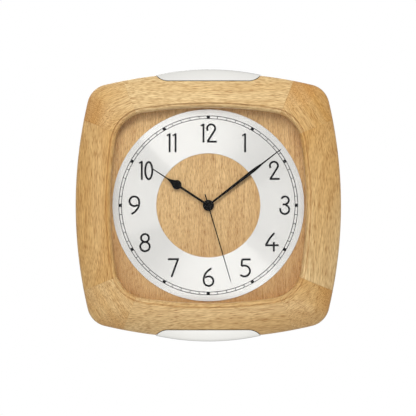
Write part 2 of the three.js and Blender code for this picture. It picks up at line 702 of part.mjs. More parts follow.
function battery() {
  const [end, shoulder] = [BATTERY_HALF, BATTERY_HALF - BATTERY_NUB];
  const profile = [
    [0, -end], [BATTERY_RADIUS, -end], [BATTERY_RADIUS, shoulder],
    [BATTERY_NUB_RADIUS, shoulder], [BATTERY_NUB_RADIUS, end], [0, end],
  ];
  return turned(profile, BATTERY_SIDES).rotate([0, 90, 0]).translate([0, BATTERY_Y, BATTERY_DEPTH]);
}

// A bent strip: it presses on the battery's end, runs under it and turns up against the wall
function contact(side) {
  const [near, wall, strip] = [BATTERY_HALF + GAP, CASE_INNER_HALF - GAP, CONTACT_THICKNESS];
  const [low, high] = [BATTERY_Y - CONTACT_HEIGHT / 2, BATTERY_Y + CONTACT_HEIGHT / 2];
  const outline = [
    [near, low], [wall, low], [wall, low + CONTACT_TURN_UP], [wall - strip, low + CONTACT_TURN_UP],
    [wall - strip, low + strip], [near + strip, low + strip], [near + strip, high], [near, high],
  ];
  const from = BATTERY_DEPTH - CONTACT_DEPTH / 2;
  return polygon(outline.map(([x, y]) => [side * x, y]), from, from + CONTACT_DEPTH);
}

function antenna() {
  const core = rod(ANTENNA_RADIUS, -ANTENNA_LENGTH / 2, ANTENNA_LENGTH / 2);
  const winding = rod(ANTENNA_WINDING_RADIUS, -ANTENNA_WINDING_LENGTH / 2, ANTENNA_WINDING_LENGTH / 2);
  return join(core, winding).rotate([0, 90, 0]).translate([0, ANTENNA_Y, ANTENNA_DEPTH]);
}

function circuitBoard() {
  const { halfWidth, bottom, top, thickness, chip, chipHeight } = CIRCUIT;
  const front = CIRCUIT_BACK + thickness;
  const board = block(-halfWidth, halfWidth, bottom, top, CIRCUIT_BACK, front);
  const middle = (bottom + top) / 2;
  const body = block(-chip, chip, middle - chip, middle + chip, front - thickness / 2, front + chipHeight);
  return join(board, body);
}

function middlePlate() {
  const outline = roundedRectangle(-PLATE_HALF_WIDTH, PLATE_HALF_WIDTH, -PLATE_BOTTOM, PLATE_TOP, 1);
  const ends = [[0, 0], ...[LEFT, RIGHT].flatMap((side) => [rotorAt(side), intermediateAt(side)])];
  return cut(raised(outline, PLATE_BACK, PLATE_FRONT), ...ends.map((end) => socket(end, 0, CASE_FRONT)));
}

function pushButton() {
  const [back, flange] = [CASE_BACK - BUTTON_PROUD, COVER_FRONT + GAP];
  return turned([
    [0, back], [BUTTON_RADIUS, back], [BUTTON_RADIUS, flange], [BUTTON_FLANGE, flange],
    [BUTTON_FLANGE, BUTTON_FRONT], [0, BUTTON_FRONT],
  ]);
}

// Motors

const STATOR_BACK = PLATE_FRONT + GAP;
const COIL_DEPTH = STATOR_BACK + STATOR.thickness / 2;

function statorEdges(side) {
  const [x, y] = rotorAt(side);
  const [inner, outer] = [x - side * STATOR.inward, x + side * STATOR.outward];
  return { left: Math.min(inner, outer), right: Math.max(inner, outer), y, coilY: y + STATOR.coilRise };
}

function stator(side) {
  const { left, right, y, coilY } = statorEdges(side);
  const { limb, pole, thickness } = STATOR;
  const loop = block(left, right, y - pole, coilY + limb / 2, STATOR_BACK, STATOR_BACK + thickness);
  const window = block(left + limb, right - limb, y + pole, coilY - limb / 2, 0, FRAME_DEPTH);
  const bore = rod(MAGNET_RADIUS + GAP, 0, FRAME_DEPTH).translate([rotorAt(side)[0], y, 0]);
  return cut(loop, window, bore);
}

function coil(side) {
  const { left, right, coilY } = statorEdges(side);
  const { limb, thickness } = STATOR;
  const winding = rod(COIL_RADIUS, -COIL_LENGTH / 2, COIL_LENGTH / 2).rotate([0, 90, 0]);
  const [tall, deep] = [limb / 2 + GAP, thickness / 2 + GAP];
  const bore = block(-COIL_LENGTH, COIL_LENGTH, -tall, tall, -deep, deep);
  return cut(winding, bore).translate([(left + right) / 2, coilY, COIL_DEPTH]);
}

// Wheels, each drawn about its own axis

const OVERHANG = (PINION_THICKNESS - WHEEL_THICKNESS) / 2;
const ARBOR_FOOT = COVER_FRONT - PIVOT_DEPTH;
const ARBOR_HEAD = CASE_INNER_FRONT + PIVOT_DEPTH;
const TURN = 2 * Math.PI;

// Straight-flanked teeth, thin enough to leave play in the mesh
function gear(teeth, module, phase, from, to) {
  const pitch = (teeth * module) / 2;
  const [foot, tip] = [pitch - DEDENDUM * module, pitch + ADDENDUM * module];
  const points = [];
  for (let i = 0; i < teeth; i++) {
    const flank = [[foot, TOOTH_FOOT_SHARE], [tip, TOOTH_TIP_SHARE]];
    const otherFlank = flank.map(([radius, share]) => [radius, -share]);
    for (const [radius, share] of [...otherFlank, ...flank.reverse()]) {
      const angle = phase + ((i + share) * TURN) / teeth;
      points.push([radius * Math.cos(angle), radius * Math.sin(angle)]);
    }
  }
  return polygon(points, from, to);
}

// The driven gear of a pair has a gap where the driving one has a tooth
function gapPhase(direction, teeth) {
  return direction + Math.PI + Math.PI / teeth;
}

const TO_INTERMEDIATE = {
  [LEFT]: Math.PI - radians(INTERMEDIATE_ANGLE), [RIGHT]: radians(INTERMEDIATE_ANGLE),
};
const TO_ROTOR = { [LEFT]: Math.PI, [RIGHT]: 0 };

function centreWheel(side, back) {
  return gear(CENTRE_TEETH, TRAIN_MODULE, TO_INTERMEDIATE[side], back, back + WHEEL_THICKNESS);
}

function secondWheel() {
  return join(centreWheel(LEFT, SECOND_WHEEL_BACK), rod(ARBOR_RADIUS, ARBOR_FOOT, SECOND_HAND_FRONT));
}

function minuteWheel() {
  const wheelFront = MINUTE_WHEEL_BACK + WHEEL_THICKNESS;
  const pinion = gear(MINUTE_PINION_TEETH, MOTION_MODULE, -Math.PI / 2, wheelFront, MINUTE_PINION_FRONT);
  const pipe = rod(MINUTE_PIPE_RADIUS, MINUTE_PINION_FRONT, MINUTE_HAND_FRONT);
  const bore = rod(ARBOR_RADIUS + GAP, 0, FRAME_DEPTH);
  return cut(join(centreWheel(RIGHT, MINUTE_WHEEL_BACK), pinion, pipe), bore);
}

function motionWheel() {
  const wheelFront = MOTION_WHEEL_BACK + WHEEL_THICKNESS;
  const phase = gapPhase(-Math.PI / 2, MOTION_TEETH);
  const wheel = gear(MOTION_TEETH, MOTION_MODULE, phase, MOTION_WHEEL_BACK, wheelFront);
  const pinion = gear(MOTION_PINION_TEETH, HOUR_MODULE, Math.PI / 2, wheelFront, HOUR_WHEEL_FRONT + OVERHANG);
  return join(wheel, pinion, rod(ARBOR_RADIUS, MOTION_WHEEL_BACK, ARBOR_HEAD));
}

function hourWheel() {
  const phase = gapPhase(Math.PI / 2, HOUR_TEETH);
  const wheel = gear(HOUR_TEETH, HOUR_MODULE, phase, HOUR_WHEEL_BACK, HOUR_WHEEL_FRONT);
  const pipe = rod(HOUR_PIPE_RADIUS, HOUR_PIPE_BACK, HOUR_HAND_FRONT);
  const shoulder = rod(HOUR_PIPE_RADIUS + HOUR_SHOULDER, HOUR_WHEEL_BACK, BUSHING_BACK - GAP);
  return cut(join(wheel, pipe, shoulder), rod(MINUTE_PIPE_RADIUS + GAP, 0, FRAME_DEPTH));
}

function intermediateWheel(side) {
  const isSecond = side === LEFT;
  const wheelFront = LOW_WHEEL_BACK + WHEEL_THICKNESS;
  const wheel = gear(INTERMEDIATE_TEETH, TRAIN_MODULE, TO_ROTOR[side], LOW_WHEEL_BACK, wheelFront);
  const pinionBack = isSecond ? wheelFront : MINUTE_WHEEL_BACK;
  const pinionFront = (isSecond ? SECOND_WHEEL_BACK - OVERHANG : MINUTE_WHEEL_BACK) + PINION_THICKNESS;
  const phase = gapPhase(TO_INTERMEDIATE[side], INTERMEDIATE_PINION_TEETH);
  const pinion = gear(INTERMEDIATE_PINION_TEETH, TRAIN_MODULE, phase, pinionBack, pinionFront);
  return join(wheel, pinion, rod(ARBOR_RADIUS, ARBOR_FOOT, isSecond ? PLATE_FRONT - GAP : ARBOR_HEAD));
}

function rotor(side) {
  const phase = gapPhase(TO_ROTOR[side], ROTOR_TEETH);
  const back = LOW_WHEEL_BACK - OVERHANG;
  const pinion = gear(ROTOR_TEETH, TRAIN_MODULE, phase, back, back + PINION_THICKNESS);
  const magnet = rod(MAGNET_RADIUS, STATOR_BACK, STATOR_BACK + MAGNET_THICKNESS);
  return join(pinion, magnet, rod(ARBOR_RADIUS, ARBOR_FOOT, ARBOR_HEAD));
}

// Hands

// A hand's outline from its right half, listed from the tail upwards
function mirrored(right) {
  const offAxis = right.filter((point) => point.x > 1e-9);
  const left = offAxis.map((point) => new THREE.Vector2(-point.x, point.y));
  return new THREE.Shape([...right, ...left.reverse()]);
}

function arcTo(x, y, radius, start, end, steps) {
  return [...arcPoints(x, y, radius, start, end, steps), ...arcPoints(x, y, radius, end, end + 1, 1)];
}

function bend(from, control, to, steps) {
  const points = [from, control, to].map(([x, y]) => new THREE.Vector2(x, y));
  return new THREE.QuadraticBezierCurve(...points).getPoints(steps);
}

function hourOutline() {
  const { hub, bar, disc, discAt, neck, neckAt, tip, short } = HOUR_HAND;
  const leave = radians(HOUR_TAPER_ANGLE);
  const shoulder = [disc * Math.cos(leave), discAt + disc * Math.sin(leave)];
  return mirrored([
    ...arcTo(0, 0, hub, -Math.PI / 2, Math.acos(bar / hub), ROUND_SIDES),
    ...arcTo(0, discAt, disc, -Math.acos(bar / disc), leave, ROUND_SIDES),
    ...bend(shoulder, [neck + bar / 2, (shoulder[1] + neckAt) / 2], [neck, neckAt], TAPER_STEPS).slice(1),
    new THREE.Vector2(tip, RING_OUTER - short),
  ]);
}

function minuteOutline() {
  const { hub, bar, wide, wideAt, neck, neckAt, tip, short } = MINUTE_HAND;
  return mirrored([
    ...arcTo(0, 0, hub, -Math.PI / 2, Math.acos(bar / hub), ROUND_SIDES),
    new THREE.Vector2(wide, wideAt),
    ...bend([wide, wideAt], [wide, (wideAt + neckAt) / 2], [neck, neckAt], TAPER_STEPS).slice(1),
    new THREE.Vector2(tip, RING_OUTER - short),
  ]);
}

function secondOutline() {
  const { hub, bar, tip, short, tail } = SECOND_HAND;
  const side = Math.acos(bar / hub);
  return mirrored([
    new THREE.Vector2(bar, -tail),
    ...arcTo(0, 0, hub, -side, side, ROUND_SIDES),
    new THREE.Vector2(tip, RING_OUTER - short),
  ]);
}

function hand(outline, pipeRadius, back, thickness, angle) {
  const plateBack = back + COLLET_HEIGHT;
  const plate = raised(outline, plateBack, plateBack + thickness);
  const collet = rod(pipeRadius + GAP + COLLET_WALL, back, plateBack + thickness / 2);
  const bore = rod(pipeRadius + GAP, 0, FRAME_DEPTH);
  return cut(join(plate, collet), bore).rotate([0, 0, -angle]);
}

function secondHand() {
  const open = hand(secondOutline(), ARBOR_RADIUS, SECOND_HAND_BACK, SECOND_HAND_THICKNESS, SECOND_ANGLE);
  const [seat, top] = [SECOND_HAND_FRONT - SECOND_HAND_THICKNESS / 2, SECOND_HAND_FRONT + CAP_HEIGHT];
  const bevel = CAP_HEIGHT / 2;
  const cap = turned([
    [0, seat], [CAP_RADIUS, seat], [CAP_RADIUS, top - bevel], [CAP_RADIUS - bevel, top], [0, top],
  ], FINE_SIDES);
  return cut(join(open, cap), rod(ARBOR_RADIUS + GAP, 0, SECOND_HAND_FRONT + GAP));
}

// Materials

function finish(color, roughness, metalness) {
  return new THREE.MeshStandardMaterial({ color, roughness, metalness });
}

const beech = finish('#d3a877', 0.5, 0);
const veneer = finish('#cfa670', 0.5, 0);
const aluminium = finish('#e6e6e3', 0.35, 1);
const silver = finish('#e0dfdb', 0.4, 0.8);
const glass = finish('#eef2f2', 0.05, 0);
const black = finish('#1b1a1a', 0.35, 0.2);
const plastic = finish('#242425', 0.5, 0);
const steel = finish('#b9bbbd', 0.35, 1);
const brass = finish('#c9a24e', 0.35, 1);
const rubber = finish('#1e1e1e', 0.8, 0);
const nylon = finish('#eeeade', 0.5, 0);
const copper = finish('#b4652f', 0.4, 1);
const ferrite = finish('#3c3b3d', 0.6, 0.2);
const laminate = finish('#2f6b3c', 0.5, 0);
const cell = finish('#3b5a7c', 0.4, 0.4);

// The clock hangs with its face towards -Y and its origin where the wall screw carries it
const clock = new THREE.Group();
clock.rotation.x = Math.PI / 2;
clock.position.z = -HOOK_Y;

function piece(name, body, material, [x, y] = [0, 0]) {
  const mesh = new THREE.Mesh(surface(body), material);
  mesh.name = name;
  mesh.position.set(x, y, 0);
  clock.add(mesh);
}

// Frame and inserts
const ring = frameRing();
const rail = (quarters) => cut(
  ring.intersect(quarterTurn(railCutter(), quarters)), quarterTurn(boardScrewHole(), quarters),
);
const insertCuts = [insertNotch(), ...insertHoles()];
piece('top_rail', cut(rail(0), ...insertCuts, ...hangerCuts()), beech);
piece('left_rail', rail(1), beech);
piece('bottom_rail', cut(rail(2), ...insertCuts.map((body) => quarterTurn(body, 2))), beech);
piece('right_rail', rail(3), beech);
['top_right', 'top_left', 'bottom_left', 'bottom_right'].forEach((place, quarters) => {
  piece(`corner_${place}`, ring.intersect(quarterTurn(cornerCutter(), quarters)), beech);
});
const boredInsert = cut(insertBody(), ...insertHoles());
[['top', 0], ['bottom', 2]].forEach(([place, quarters]) => {
  piece(`${place}_insert`, quarterTurn(boredInsert, quarters), aluminium);
  insertSides.forEach((x, i) => {
    const body = screw(INSERT_SCREW, x, INSERT_SCREW_Y, INSERT_SCREW_SINK);
    piece(`${place}_insert_screw_${i + 1}`, quarterTurn(body, quarters), steel);
  });
});
piece('hanger_plate', hangerPlate(), steel);
hangerSides.forEach((x, i) => {
  piece(`hanger_screw_${i + 1}`, screw(HANGER_SCREW, x, HANGER_SCREW_Y, HANGER_SCREW_BACK), steel);
});

// Glass and dial
piece('glass_pane', raised(outlineShape(grown(GLASS_SEAT, -GAP)), GLASS_BACK, GLASS_FRONT), glass);
piece('spacer_frame', spacerFrame(), beech);
piece('dial_board', dialBoard(), veneer);
piece('dial_ring', dialRing(), silver);
['top', 'left', 'bottom', 'right'].forEach((place, quarters) => {
  const body = screw(BOARD_SCREW, 0, BOARD_SCREW_REACH, BOARD_SCREW_BACK);
  piece(`board_screw_${place}`, quarterTurn(body, quarters), steel);
});

// Movement and how it is clamped
piece('movement_case', movementCase(), plastic);
piece('movement_cover', movementCover(), plastic);
piece('middle_plate', middlePlate(), nylon);
piece('threaded_bushing', bushing(), brass);
piece('mounting_nut', nut(), brass);
piece('brass_washer', washer(BRASS_WASHER, BRASS_BACK), brass);
piece('rubber_washer', washer(RUBBER_WASHER, RUBBER_BACK), rubber);
piece('battery', battery(), cell);
piece('positive_contact', contact(RIGHT), steel);
piece('negative_contact', contact(LEFT), steel);
piece('circuit_board', circuitBoard(), laminate);
piece('ferrite_antenna', antenna(), ferrite);
piece('set_button', pushButton(), nylon, [RIGHT * BUTTON_SPREAD, BUTTON_Y]);
piece('signal_button', pushButton(), nylon, [LEFT * BUTTON_SPREAD, BUTTON_Y]);

// Motors and wheels
[['second', LEFT], ['minute', RIGHT]].forEach(([name, side]) => {
  piece(`${name}_stator`, stator(side), steel);
  piece(`${name}_coil`, coil(side), copper);
  piece(`${name}_rotor`, rotor(side), nylon, rotorAt(side));
  piece(`${name}_intermediate_wheel`, intermediateWheel(side), nylon, intermediateAt(side));
});
piece('second_wheel', secondWheel(), nylon);
piece('minute_wheel', minuteWheel(), nylon);
piece('motion_wheel', motionWheel(), nylon, [0, -MOTION_REACH]);
piece('hour_wheel', hourWheel(), nylon);

// Hands
const hourHand = hand(hourOutline(), HOUR_PIPE_RADIUS, HOUR_HAND_BACK, HAND_THICKNESS, HOUR_ANGLE);
piece('hour_hand', hourHand, black);
const minuteHand = hand(minuteOutline(), MINUTE_PIPE_RADIUS, MINUTE_HAND_BACK, HAND_THICKNESS, MINUTE_ANGLE);
piece('minute_hand', minuteHand, black);
piece('second_hand', secondHand(), black);

export default clock;
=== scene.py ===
from math import acos, copysign, cos, degrees, pi, radians, sin, sqrt, tan, tau

import bmesh
import bpy
import numpy as np
from mathutils import Matrix, Vector


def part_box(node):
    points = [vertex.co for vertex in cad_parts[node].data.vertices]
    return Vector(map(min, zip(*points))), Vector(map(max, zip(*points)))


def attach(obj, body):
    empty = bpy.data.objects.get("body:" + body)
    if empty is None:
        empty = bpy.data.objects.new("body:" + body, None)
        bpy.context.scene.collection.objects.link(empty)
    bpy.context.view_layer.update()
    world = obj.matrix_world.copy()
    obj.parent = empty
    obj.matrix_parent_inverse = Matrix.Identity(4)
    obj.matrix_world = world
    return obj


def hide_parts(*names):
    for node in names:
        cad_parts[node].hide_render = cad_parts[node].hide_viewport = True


# A wall clock set by radio: a square beech frame with bowed sides, a silver dial ring on a beech
# board behind glass, three black hands, and a battery movement on the back of the board.
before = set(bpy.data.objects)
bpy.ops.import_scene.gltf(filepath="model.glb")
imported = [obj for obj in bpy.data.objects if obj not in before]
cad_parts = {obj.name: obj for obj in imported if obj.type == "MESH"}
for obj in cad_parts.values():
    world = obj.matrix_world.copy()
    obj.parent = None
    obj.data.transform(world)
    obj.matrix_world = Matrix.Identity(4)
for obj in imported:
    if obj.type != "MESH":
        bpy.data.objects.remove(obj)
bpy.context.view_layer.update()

# The view
# The clock hangs by its keyhole plate from the origin, with its back on the wall, and is seen
# straight on from so far off that its sides hardly show.
MM = 0.001
FIELD = 520 * MM
LENS, SENSOR = 180, 36
CENTRE_ABOVE_VIEW, CENTRE_RIGHT_OF_VIEW = 3.3 * MM, 0.4 * MM

ring_low, ring_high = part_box("dial_ring")
dial = (ring_low + ring_high) / 2


def hung(name, data):
    """A new object with this data, in the scene."""
    made = bpy.data.objects.new(name, data)
    bpy.context.scene.collection.objects.link(made)
    return made


camera = hung("camera", bpy.data.cameras.new("camera"))
camera.data.lens, camera.data.sensor_width = LENS, SENSOR
camera.location = (-CENTRE_RIGHT_OF_VIEW, dial.y - FIELD * LENS / SENSOR, dial.z - CENTRE_ABOVE_VIEW)
camera.rotation_euler = (pi / 2, 0, 0)
bpy.context.scene.camera = camera
bpy.context.scene.view_settings.view_transform = "Standard"


# The studio
# A white surround for the camera, for metal and for glass; a dimmer grey lights the matt surfaces,
# with soft lamps above, below and beside the clock and a pale floor well below it.
AMBIENT, WHITE = "#979797", "#ffffff"


def linear(code):
    """An sRGB hex colour as the linear values that a shader reads."""
    channels = [int(code[i:i + 2], 16) / 255 for i in (1, 3, 5)]
    return [c / 12.92 if c <= 0.04045 else ((c + 0.055) / 1.055) ** 2.4 for c in channels] + [1]


def add(tree, kind, inputs=None, **settings):
    """Adds a shader node; an input is a value, a hex colour, a socket or another node."""
    node = tree.nodes.new("ShaderNode" + kind)
    for name, value in settings.items():
        setattr(node, name, value)
    for name, value in (inputs or {}).items():
        if isinstance(value, str):
            value = linear(value)
        if isinstance(value, bpy.types.Node):
            value = value.outputs[0]
        if isinstance(value, bpy.types.NodeSocket):
            tree.links.new(value, node.inputs[name])
        else:
            node.inputs[name].default_value = value
    return node


def bare(datablock):
    """A material or world with its node tree emptied, and that tree."""
    datablock.use_nodes = True
    datablock.node_tree.nodes.clear()
    return datablock, datablock.node_tree


world, tree = bare(bpy.data.worlds.new("studio"))
bpy.context.scene.world = world
path = add(tree, "LightPath")
direct = add(tree, "Math", {0: path.outputs["Diffuse Depth"], 1: 0.5}, operation="LESS_THAN")
shiny = add(tree, "Math", {0: path.outputs["Is Glossy Ray"], 1: path.outputs["Is Transmission Ray"]},
            operation="MAXIMUM")
seen = add(tree, "Math", {0: path.outputs["Is Camera Ray"], 1: shiny}, operation="MAXIMUM")
shown = add(tree, "Math", {0: seen, 1: direct}, operation="MULTIPLY")
surround = add(tree, "MixRGB", {"Fac": shown, "Color1": AMBIENT, "Color2": WHITE})
background = add(tree, "Background", {"Color": surround, "Strength": 1.0})
add(tree, "OutputWorld", {"Surface": background})


def lamp(name, across, up, ahead, width, height, power, turn=0, shines=True, lights=True):
    """A soft rectangular lamp, placed in metres from the dial and turned to the wall."""
    light = bpy.data.lights.new(name, "AREA")
    light.shape, light.size, light.size_y, light.energy = "RECTANGLE", width, height, power
    made = hung(name, light)
    facing = Matrix.Rotation(copysign(pi / 2, ahead), 4, "X")
    made.matrix_world = (Matrix.Translation(dial + Vector((across, -ahead, up)))
                         @ Matrix.Rotation(radians(turn), 4, "Y") @ facing)
    made.visible_glossy, made.visible_diffuse = shines, lights


# The key's left edge points straight at the axis of the dial from the upper left, which gives the
# spun dial ring its hard edges of light. Most of the key's light is kept off shiny surfaces, so
# that metal doesn't burn out, and part of the light from below shows in them alone.
KEY_WIDTH, KEY_HEIGHT, KEY_REACH, KEY_AHEAD = 2.4, 0.9, 1.0, 2.0
KEY_POWER, KEY_MATT_POWER = 8, 45.5
key_right, key_high = ((KEY_WIDTH / 2 + aside) * sqrt(0.5) for aside in (-KEY_REACH, KEY_REACH))
for name, power, shines in (("key_above", KEY_POWER, True), ("key_above_matt", KEY_MATT_POWER, False)):
    lamp(name, key_right, key_high, KEY_AHEAD, KEY_WIDTH, KEY_HEIGHT, power, turn=-45, shines=shines)
lamp("fill_below", 0.15, -1.25, 1.9, 1.9, 1.0, 8, lights=False)
lamp("fill_below_soft", 0.55, -1.25, 1.9, 1.9, 1.0, 12)
lamp("fill_left", -1.6, 0.1, 2.0, 0.8, 1.4, 8)
lamp("back_light", -0.8, 1.2, -2.0, 1.6, 1.0, 18)

# The floor is fine pale plaster. The camera sees it paled most of the way to white.
FLOOR_DROP, FLOOR_RADIUS, FLOOR_SIDES = 2.4, 6.0, 96
FLOOR_PALED = 0.8
FLOOR_MOTTLE = 3.0
floor = hung("floor", bpy.data.meshes.new("floor"))
floor_edge = [(FLOOR_RADIUS * cos(a), FLOOR_RADIUS * sin(a), -FLOOR_DROP)
              for a in np.linspace(0, 2 * pi, FLOOR_SIDES, endpoint=False)]
floor.data.from_pydata(floor_edge, [], [range(FLOOR_SIDES)])
plaster, tree = bare(bpy.data.materials.new("pale_plaster"))
mottle = add(tree, "TexNoise", {"Scale": FLOOR_MOTTLE, "Detail": 4.0})
tone = add(tree, "MixRGB", {"Fac": mottle, "Color1": "#f4f4f3", "Color2": "#fbfbfa"})
matt = add(tree, "BsdfPrincipled", {"Base Color": tone, "Roughness": 0.9, "Specular IOR Level": 0.0})
white = add(tree, "Emission", {"Color": WHITE, "Strength": 1.0})
path = add(tree, "LightPath")
paled = add(tree, "Math", {0: path.outputs["Is Camera Ray"], 1: FLOOR_PALED}, operation="MULTIPLY")
shown = add(tree, "Math", {0: path.outputs["Is Glossy Ray"], 1: paled}, operation="MAXIMUM")
surface = add(tree, "MixShader", {"Fac": shown, 1: matt, 2: white})
add(tree, "OutputMaterial", {"Surface": surface})
floor.data.materials.append(plaster)


# Frame
# Four rails and four corner blocks of solid beech, glued at mitres and then shaped as one: a
# rounded outer edge, a front that rises inwards, a small step and a moulded bead round the glass.
# Its outlines are half width, radius of the bowed sides and radius of the corners, in millimetres.
FRAME = (166, 562, 28.4)
STEP = (127.5, 523.5, 46.5)
STEP_WIDTH, STEP_DROP = 0.4, 1.2
BEAD_WIDTH, BEAD_DROP, BEAD_START = 6, 7, 0.16
QUIRK_WIDTH, QUIRK_DEPTH, QUIRK_FLARE, QUIRK_RISE = 0.6, 0.9, 0.1, 0.4
LIP_WALL, LIP_ARRIS = 1.8, 0.3
GLASS_REBATE, BOARD_LEDGE, BOARD_RECESS = 4.5, 8, 24
MITRE, MITRE_FOOT, GLUE_LINE = radians(22.5), 42, 0.05
EDGE_ROUND, HIP_ROUND = 8, 9
EDGE_SLOPE, CREST_SLOPE = radians(42), radians(9)
ARRIS = 0.5
CREST_ROUND = ((0.4, 0.12), (0.1, 0.3), (0.0, 0.8))
RAIL_STATIONS, CORNER_STATIONS = 100, 48
FRONT_STEPS, FRONT_CROWDING, BEAD_STEPS = 36, 1.7, 12
WELD = 1e-4
frame_depth = -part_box("top_rail")[0].y / MM
front_width = FRAME[0] - STEP[0]
bead_front = frame_depth - STEP_DROP
lip_front = bead_front - BEAD_DROP
shelf = lip_front - LIP_WALL


def grown(outline, by):
    """The same outline of four arcs and four corner fillets, moved outwards all round."""
    return tuple(size + by for size in outline)


def inset(outline, x, y):
    """How far points lie inside an outline."""
    half, side, fillet = outline
    setback, span = side - half, side - fillet
    corner = (np.sqrt(2 * span**2 - setback**2) - setback) / 2
    turn = np.arctan2(corner, corner + setback)
    x, y = np.abs(x), np.abs(y)
    direction = np.arctan2(y - corner, x - corner)
    is_corner = (x > corner) & (y > corner) & (direction > turn) & (direction < np.pi / 2 - turn)
    from_sides = side - np.maximum(np.hypot(x + setback, y), np.hypot(x, y + setback))
    return np.where(is_corner, fillet - np.hypot(x - corner, y - corner), from_sides)


def halve(is_near, far, shape):
    """The largest value up to far for which is_near holds, for each element, by halving."""
    near, far = np.zeros(shape), np.full(shape, float(far))
    for _ in range(32):
        middle = (near + far) / 2
        held = is_near(middle)
        near, far = np.where(held, middle, near), np.where(held, far, middle)
    return near


def reach(outline, start, ray):
    """How far rays from a point inside an outline run until they meet it."""
    def is_inside(run):
        return inset(outline, start[0] + run * ray[0], start[1] + run * ray[1]) > 0
    return halve(is_inside, 2 * FRAME[0], ray[0].shape)


def shaped_inset(x, y):
    """Inset from the frame's edge along contours that keep a small radius, so the hips are soft."""
    def is_inside(run):
        contour = (FRAME[0] - run, FRAME[1] - run, np.maximum(FRAME[2] - run, HIP_ROUND))
        return inset(contour, x, y) > 0
    return halve(is_inside, 2 * front_width, x.shape)


def front(run):
    """Depth of the front at an inset: a rounded edge, then one long flatter arc to the crest."""
    run = np.clip(run, 0, front_width)
    edge_run = EDGE_ROUND * (1 - sin(EDGE_SLOPE))
    radius = (front_width - edge_run) / (sin(EDGE_SLOPE) - sin(CREST_SLOPE))
    centre = front_width + radius * sin(CREST_SLOPE)
    base = frame_depth - radius * cos(CREST_SLOPE)
    slope = base + np.sqrt(radius**2 - (centre - np.maximum(run, edge_run)) ** 2)
    rounded = np.sqrt(np.maximum(EDGE_ROUND**2 - (EDGE_ROUND - np.minimum(run, edge_run)) ** 2, 0))
    return slope + rounded - EDGE_ROUND * cos(EDGE_SLOPE)


def plan(points):
    """Points across, up and out from the wall, in millimetres from the hand axis, as real places."""
    x, y, depth = np.moveaxis(np.asarray(points, float), -1, 0)
    return np.stack([x * MM, -depth * MM, dial.z + y * MM], axis=-1)


def skin(name, sections, is_ring=False):
    """A skin through matching sections, joined up as a ring or with its two end sections filled."""
    sections = np.asarray(sections, float)
    here = np.arange(sections[..., 0].size).reshape(sections.shape[:2])
    aside = np.roll(here, -1, axis=1)
    quads = np.stack([here, aside, np.roll(aside, -1, axis=0), np.roll(here, -1, axis=0)], axis=-1)
    faces = (quads if is_ring else quads[:-1]).reshape(-1, 4).tolist()
    if not is_ring:
        faces += [here[0].tolist(), here[-1].tolist()]
    mesh = bpy.data.meshes.new(name)
    mesh.from_pydata(plan(sections).reshape(-1, 3).tolist(), [], faces)
    shape = bmesh.new()
    shape.from_mesh(mesh)
    bmesh.ops.remove_doubles(shape, verts=shape.verts, dist=WELD * MM)
    stray = [edge for edge in shape.edges if not edge.link_faces]
    bmesh.ops.delete(shape, geom=stray, context="EDGES")
    bmesh.ops.recalc_face_normals(shape, faces=shape.faces)
    shape.to_mesh(mesh)
    shape.free()
    return hung(name, mesh)


def sections_of(rows):
    """Sections from rows of places across, up and out, which hold one value for each section."""
    return np.stack([np.stack(np.broadcast_arrays(*row), axis=-1) for row in rows], axis=1)


def along_rays(start, ray, rows):
    """Sections along rays from a point, from rows of how far out and at what depth they pass."""
    return sections_of([(start[0] + run * ray[0], start[1] + run * ray[1], depth) for run, depth in rows])


def quarters(sections, count):
    """Plan points turned anticlockwise by quarter turns about the hand axis."""
    x, y, depth = np.moveaxis(np.asarray(sections, float), -1, 0)
    for _ in range(count):
        x, y = -y, x
    return np.stack([x, y, depth], axis=-1)


def settle(piece):
    """Applies a piece's modifiers to its mesh."""
    mesh = bpy.data.meshes.new_from_object(piece.evaluated_get(bpy.context.evaluated_depsgraph_get()))
    piece.modifiers.clear()
    piece.data = mesh


def carve(piece, *cutters):
    """Cuts the cutters out of a piece and throws them away."""
    for cutter in cutters:
        cut = piece.modifiers.new("cut", "BOOLEAN")
        cut.object, cut.solver = cutter, "EXACT"
    settle(piece)
    for cutter in cutters:
        bpy.data.objects.remove(cutter)


def fit(piece, finish, slot, *nodes, body="clock_body", sharp=35):
    """Smooths a piece up to its sharp edges, gives it its finish, and fits it to its body."""
    piece.data.shade_smooth()
    piece.data.set_sharp_from_angle(angle=radians(sharp))
    evened = piece.modifiers.new("evened", "WEIGHTED_NORMAL")
    evened.keep_sharp = True
    settle(piece)
    piece.data.materials.clear()
    piece.data.materials.append(finish)
    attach(piece, body)
    if nodes:
        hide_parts(*nodes)


